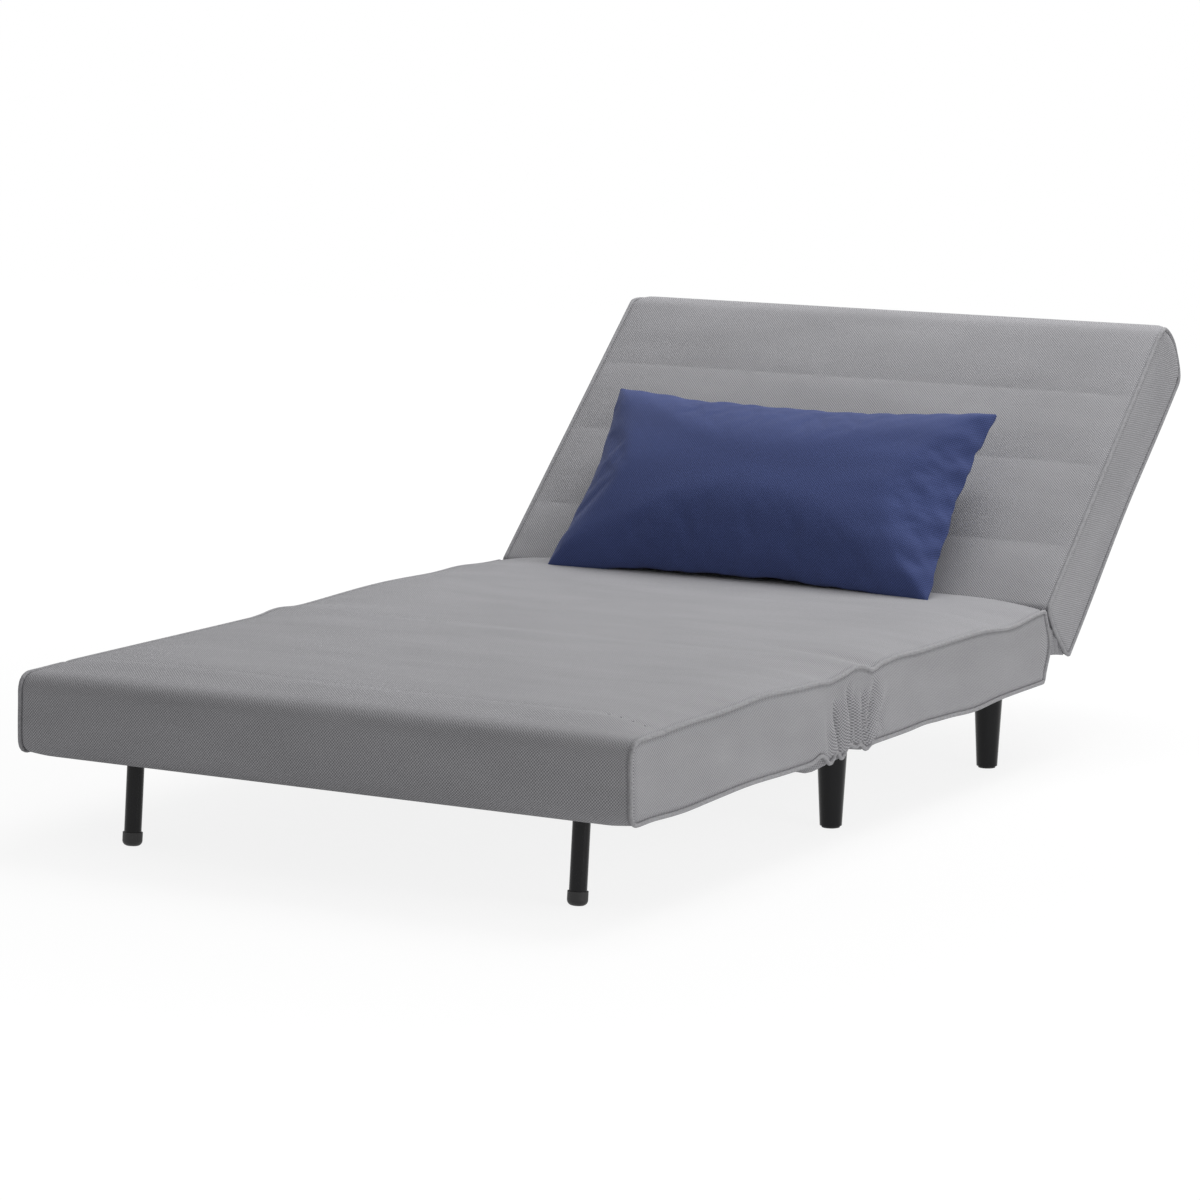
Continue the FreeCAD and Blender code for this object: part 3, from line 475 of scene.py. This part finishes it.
def unfold(piece, block, sizes):
    """UV map in metres of each face of the block, so that the weave follows the cloth."""
    layer = piece.data.uv_layers.new(name="cloth")
    flat = np.zeros((len(piece.data.loops), 2))
    lengths = np.column_stack([at_station(block[:, axis], sizes[axis]) for axis in range(3)]) / 1000
    for face in piece.data.polygons:
        ring = list(face.vertices)
        corners = block[ring]
        axis = int(np.argmin(corners.max(axis=0) - corners.min(axis=0)))
        u, v = [(1, 2), (0, 2), (0, 1)][axis]
        flat[list(face.loop_indices)] = lengths[ring][:, [u, v]]
    layer.data.foreach_set("uv", flat.ravel())


weave_period = 0.0044
weave_wander = 0.0005


def maths(tree, kind, first, second=0.0):
    return add_node(tree, "ShaderNodeMath", {0: first, 1: second}, operation=kind).outputs[0]


def weave_group():
    """Hopsack cloth: small lozenges of doubled threads, with painted light on their raised tops and painted
    shade on the darker ground between them.
    """
    group = bpy.data.node_groups.new("hopsack_weave", "ShaderNodeTree")
    face = group.interface
    face.new_socket("Place", in_out="INPUT", socket_type="NodeSocketVector")
    period = face.new_socket("Period", in_out="INPUT", socket_type="NodeSocketFloat")
    period.default_value = weave_period
    face.new_socket("Height", in_out="OUTPUT", socket_type="NodeSocketFloat")
    face.new_socket("Shade", in_out="OUTPUT", socket_type="NodeSocketFloat")
    source = group.nodes.new("NodeGroupInput")
    sink = group.nodes.new("NodeGroupOutput")
    place = source.outputs["Place"]
    cloud = {"Vector": place, "Scale": 60.0, "Detail": 2.0}
    wander = add_node(group, "ShaderNodeTexNoise", cloud).outputs["Color"]
    reach = {0: wander, 1: (weave_wander, weave_wander, 0.0)}
    shaken = add_node(group, "ShaderNodeVectorMath", reach, operation="MULTIPLY").outputs[0]
    moved = add_node(group, "ShaderNodeVectorMath", {0: place, 1: shaken}, operation="ADD")
    parts = add_node(group, "ShaderNodeSeparateXYZ", {0: moved.outputs[0]})
    turn = maths(group, "DIVIDE", math.tau, source.outputs["Period"])
    across = maths(group, "MULTIPLY", parts.outputs[0], turn)
    along = maths(group, "MULTIPLY", parts.outputs[1], turn)
    lozenge = maths(group, "MULTIPLY", maths(group, "COSINE", across), maths(group, "COSINE", along))
    slant = maths(group, "ADD", across, along)
    thread = maths(group, "COSINE", maths(group, "MULTIPLY", slant, 2.0))
    height = maths(group, "ADD", lozenge, maths(group, "MULTIPLY", thread, 0.15))
    group.links.new(height, sink.inputs["Height"])
    # Painted light and shade: the colour follows the relief, lighter on the raised lozenges and darker
    # between them
    lozenge_shade = maths(group, "MULTIPLY", lozenge, 0.45)
    thread_shade = maths(group, "MULTIPLY", thread, 0.05)
    shade = maths(group, "ADD", 0.5, maths(group, "ADD", lozenge_shade, thread_shade))
    group.links.new(shade, sink.inputs["Shade"])
    return group


weave = weave_group()


def woven_cloth(name, dark, light, sheen_patch_strength, weave_shading_strength, sheen):
    """Upholstery cloth from the weave and its painted light and shade, with soft patches of painted sheen
    where its nap lies another way.
    """
    material, tree, shader = material_of(name)
    place = add_node(tree, "ShaderNodeUVMap", uv_map="cloth").outputs[0]
    threads = add_node(tree, "ShaderNodeGroup", {}, node_tree=weave)
    threads.inputs["Period"].default_value = weave_period
    tree.links.new(place, threads.inputs["Place"])
    stretched = add_node(tree, "ShaderNodeMapping", {"Vector": place, "Scale": (2.2, 7.0, 1.0)}).outputs[0]
    # Painted sheen: large soft patches, lighter and darker where the nap lies another way
    patches = noise(tree, stretched, 2.0, Detail=5.0, Roughness=0.55)
    fluff = noise(tree, place, 420.0, Detail=3.0)
    sheen_tone = shade_range(tree, patches, 0.5 - sheen_patch_strength, 0.5 + sheen_patch_strength)
    # Painted light and shade of the weave, laid into the cloth's colour
    woven = shade_range(tree, threads.outputs["Shade"], -weave_shading_strength, weave_shading_strength)
    fibre = shade_range(tree, fluff, -0.10, 0.10)
    mixed = {0: maths(tree, "ADD", sheen_tone, woven), 1: fibre}
    total = add_node(tree, "ShaderNodeMath", mixed, operation="ADD", use_clamp=True).outputs[0]
    tree.links.new(tint(tree, total, dark, light), shader.inputs["Base Color"])
    tree.links.new(shade_range(tree, fluff, 0.82, 0.96), shader.inputs["Roughness"])
    raise_surface(tree, shader, threads.outputs["Height"], 0.5, 0.0004)
    shader.inputs["Sheen Weight"].default_value = sheen
    shader.inputs["Sheen Roughness"].default_value = 0.5
    shader.inputs["Specular IOR Level"].default_value = 0.2
    return material


# Its colour holds painted sheen patches and the painted light and shade of the weave
grey_cloth = woven_cloth("grey_cloth", (0.08, 0.08, 0.086), (0.62, 0.614, 0.64), 0.10, 0.42, 0.12)


def finish_cushion(name, sizes, place, material):
    """Makes a padded piece: the block, its shape, its unfolded cloth and its finish."""
    piece = grid_block(name, [len(places) - 1 for places in sizes])
    block = read_points(piece)
    unfold(piece, block, sizes)
    write_points(piece, to_frame(place(block)))
    piece.data.materials.append(material)
    bpy.ops.object.shade_smooth()
    return piece


bed_rows = (bed_across, bed_along, bed_upward)
bed = finish_cushion("foot_and_seat_cushion", bed_rows, place_bed, grey_cloth)
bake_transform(bed)
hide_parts("foot_cover", "foot_foam", "seat_cover", "seat_foam")


# Stitches across the foot end
# A row of strong thread, sewn through the cover behind the front roll.

stitch_count = 132
stitch_pitch = 7.4
stitch_half_length = 2.3
thread_radius = 0.55
stitch_lift = 0.2
copy_step = 10


def stitch_row():
    """One small bead is copied along a row, and each copy is then laid into the seam as a stitch."""
    bpy.ops.object.select_all(action="DESELECT")
    bpy.ops.mesh.primitive_uv_sphere_add(segments=6, ring_count=4, radius=1)
    row = bpy.context.object
    row.name = "foot_stitches"
    row.data.name = "foot_stitches"
    copies = row.modifiers.new("row", "ARRAY")
    copies.use_relative_offset = False
    copies.use_constant_offset = True
    copies.constant_offset_displace = (copy_step, 0, 0)
    copies.count = stitch_count
    bpy.ops.object.modifier_apply(modifier="row")
    beads = read_points(row)
    number = np.round(beads[:, 0] / copy_step)
    beads[:, 0] -= number * copy_step
    x = (number - (stitch_count - 1) / 2) * stitch_pitch
    y = stitch_place(x)
    z = bed_top_level(x, y) + stitch_lift
    stitches = np.column_stack([x, y, z]) + beads * (stitch_half_length, thread_radius, thread_radius)
    write_points(row, to_frame(stitches))
    material, tree, shader = material_of("sewing_thread")
    spun = noise(tree, object_place(tree), 900.0)
    colour = tint(tree, spun, (0.03, 0.03, 0.033), (0.08, 0.08, 0.085))
    tree.links.new(colour, shader.inputs["Base Color"])
    shader.inputs["Roughness"].default_value = 0.6
    row.data.materials.append(material)
    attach(row, "foot_section")


stitch_row()


# Piping of the foot and seat cover
# A cord sewn into a strip of the same cloth. It runs round each side panel, along the top,
# down the front corner and back along the underside.

piping_radius = 0.0032


def piping_cloth():
    """The same cloth cut on the bias, seen on a thin cord."""
    material, tree, shader = material_of("piping_cloth")
    threads = noise(tree, object_place(tree), 420.0, Detail=2.0)
    colour = tint(tree, threads, (0.16, 0.16, 0.167), (0.50, 0.495, 0.515))
    tree.links.new(colour, shader.inputs["Base Color"])
    shader.inputs["Roughness"].default_value = 0.9
    shader.inputs["Sheen Weight"].default_value = 0.12
    raise_surface(tree, shader, threads, 0.4, 0.0005)
    return material


bias_cloth = piping_cloth()


def piping(name, places):
    """A round cord through the given places, closed on itself."""
    curve = bpy.data.curves.new(name, "CURVE")
    curve.dimensions = "3D"
    spline = curve.splines.new("POLY")
    spline.points.add(len(places) - 1)
    for point, place in zip(spline.points, places):
        point.co = (*place, 1)
    spline.use_cyclic_u = True
    curve.bevel_depth = piping_radius
    curve.bevel_resolution = 2
    cord = bpy.data.objects.new(name, curve)
    bpy.context.collection.objects.link(cord)
    bpy.ops.object.select_all(action="DESELECT")
    cord.select_set(True)
    bpy.context.view_layer.objects.active = cord
    bpy.ops.object.convert(target="MESH")
    cord = bpy.context.object
    bpy.ops.object.mode_set(mode="EDIT")
    bpy.ops.mesh.select_all(action="SELECT")
    bpy.ops.mesh.remove_doubles(threshold=0.00001)
    bpy.ops.mesh.normals_make_consistent(inside=False)
    bpy.ops.object.mode_set(mode="OBJECT")
    bpy.ops.object.shade_smooth()
    cord.data.materials.append(bias_cloth)
    return cord


def side_ring(side, along, up):
    """The block's edge round one side panel, at the rows of its two faces."""
    forward = np.linspace(-1, 1, len(along))
    rise = np.linspace(-1, 1, len(up))
    ring = [(side, y, -1) for y in forward[:-1]] + [(side, 1, z) for z in rise[:-1]]
    ring += [(side, y, 1) for y in forward[:0:-1]] + [(side, -1, z) for z in rise[:0:-1]]
    return np.array(ring)


for side_name, side in (("left", -1), ("right", 1)):
    seam_places = place_bed(side_ring(side, bed_along, bed_upward))
    cord = piping(f"bed_piping_{side_name}", to_frame(seam_places))
    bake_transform(cord)


# Back cushion
# The same cloth over foam, sewn through in three rows so that its face has four low channels.
# It turns about an axis just under the crease, where its face meets the seat.

crease_y, crease_z = 1350.0, 252.5
rest_angle = math.radians(43)
back_length = 617.0
back_depth = 124.0
channel_seams = (130.0, 300.0, 450.0)
channel_rise = 3.4
channel_edge = 60.0
broad_rise = 3.5
low_front_radius = 10.0
high_front_radius = 30.0
low_rear_radius = 16.0
high_rear_radius = 46.0
low_side_radius = 6.0
high_side_radius = 24.0
top_bulge = 24.0
top_bulge_width = 30.0
rear_hollow = 7.0
rear_hollow_place = 300.0
rear_hollow_width = 150.0
back_side_slack = 2.5
seam_rows = [seam + np.array([-4.5, -1.5, 1.5, 4.5]) for seam in channel_seams]
back_across = stations(-half_width, half_width, 8.5)
back_along = np.unique(np.concatenate([stations(0, back_length, 9), *seam_rows]))
back_through = stations(0, back_depth, 8)


def from_back(x, up, deep):
    """From the back's own lengths, up along its face and deep behind it, to the bed's."""
    y = crease_y + up * math.cos(rest_angle) + deep * math.sin(rest_angle)
    z = crease_z + up * math.sin(rest_angle) - deep * math.cos(rest_angle)
    return np.column_stack([x, y, z])


def back_face_rise(x, up):
    """How far the face stands out between its sewn rows, with small puckers along them."""
    rise = np.zeros_like(up)
    stops = (0.0, *channel_seams, back_length)
    for low, high in zip(stops[:-1], stops[1:]):
        share = np.clip((up - low) / (high - low), 0, 1)
        rise = np.maximum(rise, channel_rise * np.sin(np.pi * share) ** 0.7)
    pucker = np.zeros_like(up)
    for number, seam in enumerate(channel_seams):
        near = fade(up - seam, 22) * (1 - fade(up - seam, 4))
        lively = 0.6 + 0.4 * np.sin(x / 83 + 1.7 * number)
        pucker += near * lively * (np.sin(x / 7.3 + number) + 0.8 * np.sin(x / 12.1 + 2 * number))
    side = 1 - (1 - np.clip((half_width - np.abs(x)) / channel_edge, 0, 1)) ** 2
    broad = broad_rise * np.sin(np.pi * np.clip(up / back_length, 0, 1)) * crown_at(x)
    return (rise + pucker) * side + broad


def place_back(block):
    """Carries points of the block over to the back cushion at rest."""
    x = at_station(block[:, 0], back_across)
    up = at_station(block[:, 1], back_along)
    deep = at_station(-block[:, 2], back_through)
    from_side = half_width - np.abs(x)
    from_outline = np.minimum(np.minimum(up, back_length - up), np.minimum(deep, back_depth - deep))
    beside, rear, low, high = from_side, back_depth - deep, up, back_length - up
    in_front = deep < back_depth / 2
    low, front = round_edge(low, deep, low_front_radius)
    high, front = round_edge(high, front, high_front_radius)
    low, rear = round_edge(low, rear, low_rear_radius)
    high, rear = round_edge(high, rear, high_rear_radius)
    beside, near = round_edge(beside, np.where(in_front, front, rear), side_corner_radius)
    front, rear = np.where(in_front, near, front), np.where(in_front, rear, near)
    beside, low = round_edge(beside, low, low_side_radius)
    beside, high = round_edge(beside, high, high_side_radius)
    deep = np.where(in_front, front, back_depth - rear)
    up = np.where(up < back_length / 2, low, back_length - high)
    x = np.sign(x) * (half_width - beside)
    share = np.clip(deep / back_depth, 0, 1)
    middle = np.sin(np.pi * share)
    dip = seam_dip(from_side)
    face = back_face_rise(x, up) * ease(7 - 8 * share)
    hollow = rear_hollow * hump(up - rear_hollow_place, rear_hollow_width) * ease((deep - 60) / 60)
    slack = 1.2 * np.sin(up / 41 + deep / 30) * middle
    inward = (back_side_slack * middle + slack + seam_dip(from_outline)) * side_panel(x)
    deep = deep - face - hollow + dip * np.sign(0.5 - share) * beside_seam(share)
    from_top = back_length - up
    up = up + top_bulge * hump(from_top, top_bulge_width) * middle - dip * hump(from_top, seam_reach)
    return from_back(x - np.sign(x) * inward, up, deep)


back_rows = (back_across, back_along, back_through)
back = finish_cushion("back_cushion", back_rows, place_back, grey_cloth)
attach(back, "backrest")
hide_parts("back_cover", "back_foam")
for side_name, side in (("left", -1), ("right", 1)):
    seam_places = place_back(side_ring(side, back_along, back_through))
    cord = piping(f"back_piping_{side_name}", to_frame(seam_places))
    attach(cord, "backrest")


# Gusset between seat and back
# Loose cloth sewn to the seat's rear edge and the back's lower edge. It closes the gap behind
# the hinge line and folds together as the back comes down.

gusset_half_width = 491.0
gusset_start = 1340.0
gusset_length = 90.0
gusset_top = 243.0
gusset_top_fall = 68.0
gusset_bottom = 178.0
gusset_bottom_fall = 10.0
rib_depth = 3.2
rib_count = 4.5


def place_gusset(block):
    """Carries points of the block over to the gusset, with ribs at its sides."""
    across = block[:, 0]
    along = (block[:, 1] + 1) / 2
    through = (block[:, 2] + 1) / 2
    ribs = rib_depth * np.sin(along * math.tau * rib_count + 1.5 * through)
    x = gusset_half_width * across + np.sign(across) * ribs * ease((np.abs(across) - 0.94) / 0.05)
    gather = 2.5 * np.sin(x / 11) * np.sin(np.pi * along)
    y = gusset_start + gusset_length * along + 10 * (1 - through) * (1 - along)
    top = gusset_top - gusset_top_fall * along ** 1.15
    bottom = gusset_bottom - gusset_bottom_fall * along + gather
    return np.column_stack([x, y, bottom + (top - bottom) * through])


gusset_rows = (stations(-487, 487, 12), np.linspace(0, 92, 31), np.linspace(0, 60, 9))
gusset = finish_cushion("back_gusset", gusset_rows, place_gusset, grey_cloth)
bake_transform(gusset)


# Pillow
# A loose pillow in dark blue cloth of the same weave. Two flat sheets are sewn together and
# stuffed full, so that the cloth wrinkles along its seams, and it leans on the back.

# Its lower and upper edge, as how far up the back each lies and how far in front of its face
pillow_low = (-59.0, 66.0)
pillow_high = (312.0, 98.0)
pillow_side_shift = -17.0
pillow_sheet = (726.0, 398.0)
pillow_size = np.array([697.0, 372.0, 156.0])
pillow_rows = (110, 60, 2)
sheet_lengths = (*pillow_sheet, 4.0)
pillow_places = [np.linspace(-length / 2, length / 2, count + 1)
                 for length, count in zip(sheet_lengths, pillow_rows)]

# How much of the simulation's sideways pull is kept, and how full the pillow stays near its seams
pillow_draw = 0.32
pillow_fullness = 0.85
stuffing_pressure = 4.0
stuffing_frames = 20


def lay_flat(block):
    """The sewn sheets before they are stuffed, a little crumpled beside their seam."""
    across = at_station(block[:, 0], pillow_places[0])
    upward = at_station(block[:, 1], pillow_places[1])
    edge = np.minimum(pillow_sheet[0] / 2 - np.abs(across), pillow_sheet[1] / 2 - np.abs(upward))
    puff = 2 + 30 * (1 - fade(edge, 60))
    crumple = 2.2 * np.sin(across / 9.3 + 1.1) * np.sin(upward / 8.1) * fade(edge, 40)
    return np.column_stack([across, upward, block[:, 2] * puff + crumple])


def stuff(piece):
    """Blows the sewn sheets up as the filling does."""
    cloth = piece.modifiers.new("stuffing", "CLOTH")
    settings = cloth.settings
    settings.quality = 6
    settings.mass = 0.2
    settings.tension_stiffness = 25
    settings.compression_stiffness = 12
    settings.shear_stiffness = 8
    settings.bending_stiffness = 0.4
    settings.use_pressure = True
    settings.uniform_pressure_force = stuffing_pressure
    settings.effector_weights.gravity = 0
    cloth.point_cache.frame_start = 1
    cloth.point_cache.frame_end = stuffing_frames
    for number in range(1, stuffing_frames + 1):
        bpy.context.scene.frame_set(number)
    bpy.context.view_layer.objects.active = piece
    bpy.ops.object.modifier_apply(modifier="stuffing")
    bpy.context.scene.frame_set(1)


def seam_wrinkles(across, upward):
    """Creases that run in from the side seams and the lower seam, in millimetres."""
    from_right = pillow_size[0] / 2 - across
    from_left = pillow_size[0] / 2 + across
    from_low = pillow_size[1] / 2 + upward
    right = np.sin(upward / 8.5 + from_right / 60) * fade(from_right, 55) * (1 - fade(from_right, 6))
    left = np.sin(upward / 11 + 1.3) * fade(from_left, 35) * (1 - fade(from_left, 6))
    low = np.sin(across / 13 + 0.8) * fade(from_low, 38) * (1 - fade(from_low, 6))
    return 3.4 * right + 1.8 * left + 2.0 * low * (0.6 + 0.4 * np.sin(across / 71))


def lean_pillow(points, flat):
    """Fits the stuffed pillow to its size and leans it on the back, in millimetres."""
    points = points.copy()
    points[:, :2] = flat[:, :2] + pillow_draw * (points[:, :2] - flat[:, :2])
    low, high = points.min(axis=0), points.max(axis=0)
    points = (points - (low + high) / 2) * pillow_size / (high - low)
    half_thickness = pillow_size[2] / 2
    face = np.sign(points[:, 2])
    thickness = np.maximum(np.abs(points[:, 2]) / half_thickness, 1e-6)
    out = face * (half_thickness * thickness ** pillow_fullness + seam_wrinkles(points[:, 0], points[:, 1]))
    share = points[:, 1] / pillow_size[1] + 0.5
    rise = pillow_high[0] - pillow_low[0]
    run = pillow_high[1] - pillow_low[1]
    lean = math.atan2(run, rise)
    up = pillow_low[0] + share * rise - out * math.sin(lean)
    in_front = pillow_low[1] + share * run + out * math.cos(lean)
    return from_back(points[:, 0] + pillow_side_shift, up, -in_front)


# Its colour holds painted sheen patches and the painted light and shade of the weave
blue_cloth = woven_cloth("blue_cloth", (0.011, 0.016, 0.05), (0.092, 0.128, 0.34), 0.12, 0.30, 0.08)
pillow = grid_block("pillow", pillow_rows)
pillow_block = read_points(pillow)
unfold(pillow, pillow_block, pillow_places)
flat_sheets = lay_flat(pillow_block)
write_points(pillow, flat_sheets / 1000)
stuff(pillow)
write_points(pillow, to_frame(lean_pillow(read_points(pillow) * 1000, flat_sheets)))
softer = pillow.modifiers.new("softer", "SUBSURF")
softer.levels = 1
softer.render_levels = 1
bpy.ops.object.modifier_apply(modifier="softer")
bpy.ops.object.shade_smooth()
pillow.data.materials.append(blue_cloth)
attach(pillow, "pillow")
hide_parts("pillow_cover", "pillow_filling")


# Studio
# A pale floor that keeps the bed's shadow, soft lamps above, and the photograph's camera.

floor_size = 14
shadow_near, shadow_far = 0.9, 2.2
near_whiteness = 0.84
floor_brightness = 1.03
world_brightness = 0.32


def seen_share(tree, path):
    """1 for what the camera sees, straight or by gloss or glass, and 0 for the light on the bed."""
    seen = maths(tree, "MAXIMUM", path["Is Camera Ray"], path["Is Glossy Ray"])
    return maths(tree, "MAXIMUM", seen, path["Is Transmission Ray"])


def studio_floor():
    """White where it is seen far from the bed, and more of a plain pale floor in the shadow near it."""
    bpy.ops.object.select_all(action="DESELECT")
    bpy.ops.mesh.primitive_plane_add(size=floor_size, location=(0, 0, 0))
    floor = bpy.context.object
    floor.name = "studio_floor"
    material, tree, shader = material_of("studio_floor")
    path = add_node(tree, "ShaderNodeLightPath").outputs
    colour = tint(tree, path["Is Camera Ray"], (0.88, 0.88, 0.88), (0.9, 0.9, 0.9))
    tree.links.new(colour, shader.inputs["Base Color"])
    shader.inputs["Roughness"].default_value = 1.0
    shader.inputs["Specular IOR Level"].default_value = 0.0
    away = add_node(tree, "ShaderNodeVectorMath", {0: object_place(tree)}, operation="LENGTH")
    limits = {"Value": away.outputs["Value"], "From Min": shadow_near, "From Max": shadow_far,
              "To Min": near_whiteness, "To Max": 1.0}
    whiteness = add_node(tree, "ShaderNodeMapRange", limits).outputs[0]
    share = maths(tree, "MULTIPLY", seen_share(tree, path), whiteness)
    white = add_node(tree, "ShaderNodeEmission", {"Color": (1, 1, 1, 1), "Strength": floor_brightness})
    mix = add_node(tree, "ShaderNodeMixShader", {0: share})
    tree.links.new(shader.outputs[0], mix.inputs[1])
    tree.links.new(white.outputs[0], mix.inputs[2])
    tree.links.new(mix.outputs[0], tree.nodes["Material Output"].inputs["Surface"])
    floor.data.materials.append(material)


def studio_world():
    """White where it is seen, and a soft light from all sides on the bed."""
    world = bpy.data.worlds.new("studio")
    bpy.context.scene.world = world
    world.use_nodes = True
    tree = world.node_tree
    ground = tree.nodes["Background"]
    path = add_node(tree, "ShaderNodeLightPath").outputs
    strength = shade_range(tree, seen_share(tree, path), world_brightness, 1.0)
    tree.links.new(strength, ground.inputs["Strength"])
    ground.inputs["Color"].default_value = (1, 1, 1, 1)


def lamp(name, place, target, size, power):
    """A square soft lamp that faces its target."""
    data = bpy.data.lights.new(name, "AREA")
    data.shape = "RECTANGLE"
    data.size, data.size_y = size, size
    data.energy = power
    light = bpy.data.objects.new(name, data)
    light.location = place
    light.rotation_euler = (Vector(target) - Vector(place)).to_track_quat("-Z", "Y").to_euler()
    bpy.context.collection.objects.link(light)


studio_floor()
studio_world()
lamp("key_lamp", place=(0.6, 1.4, 3.4), target=(0, 0, 0.2), size=2.4, power=96)
lamp("side_lamp", place=(2.5, -0.9, 0.7), target=(0.4, -0.3, 0.2), size=1.3, power=12)

camera_azimuth = math.radians(29.4154)
camera_elevation = math.radians(8.7376)
camera_roll = math.radians(0.5692)
camera_place = (3.277, foot_end - 5.014, 1.3225)
camera_data = bpy.data.cameras.new("camera")
camera_data.lens = 133.07
camera_data.sensor_width = 36.0
camera_data.clip_end = 60.0
camera = bpy.data.objects.new("camera", camera_data)
camera.location = camera_place
backward = Vector((math.sin(camera_azimuth) * math.cos(camera_elevation),
                   -math.cos(camera_azimuth) * math.cos(camera_elevation),
                   math.sin(camera_elevation)))
roll = Matrix.Rotation(camera_roll, 3, "Z").to_quaternion()
camera.rotation_mode = "QUATERNION"
camera.rotation_quaternion = backward.to_track_quat("Z", "Y") @ roll
bpy.context.collection.objects.link(camera)
bpy.context.scene.camera = camera
bpy.context.scene.view_settings.view_transform = "Standard"
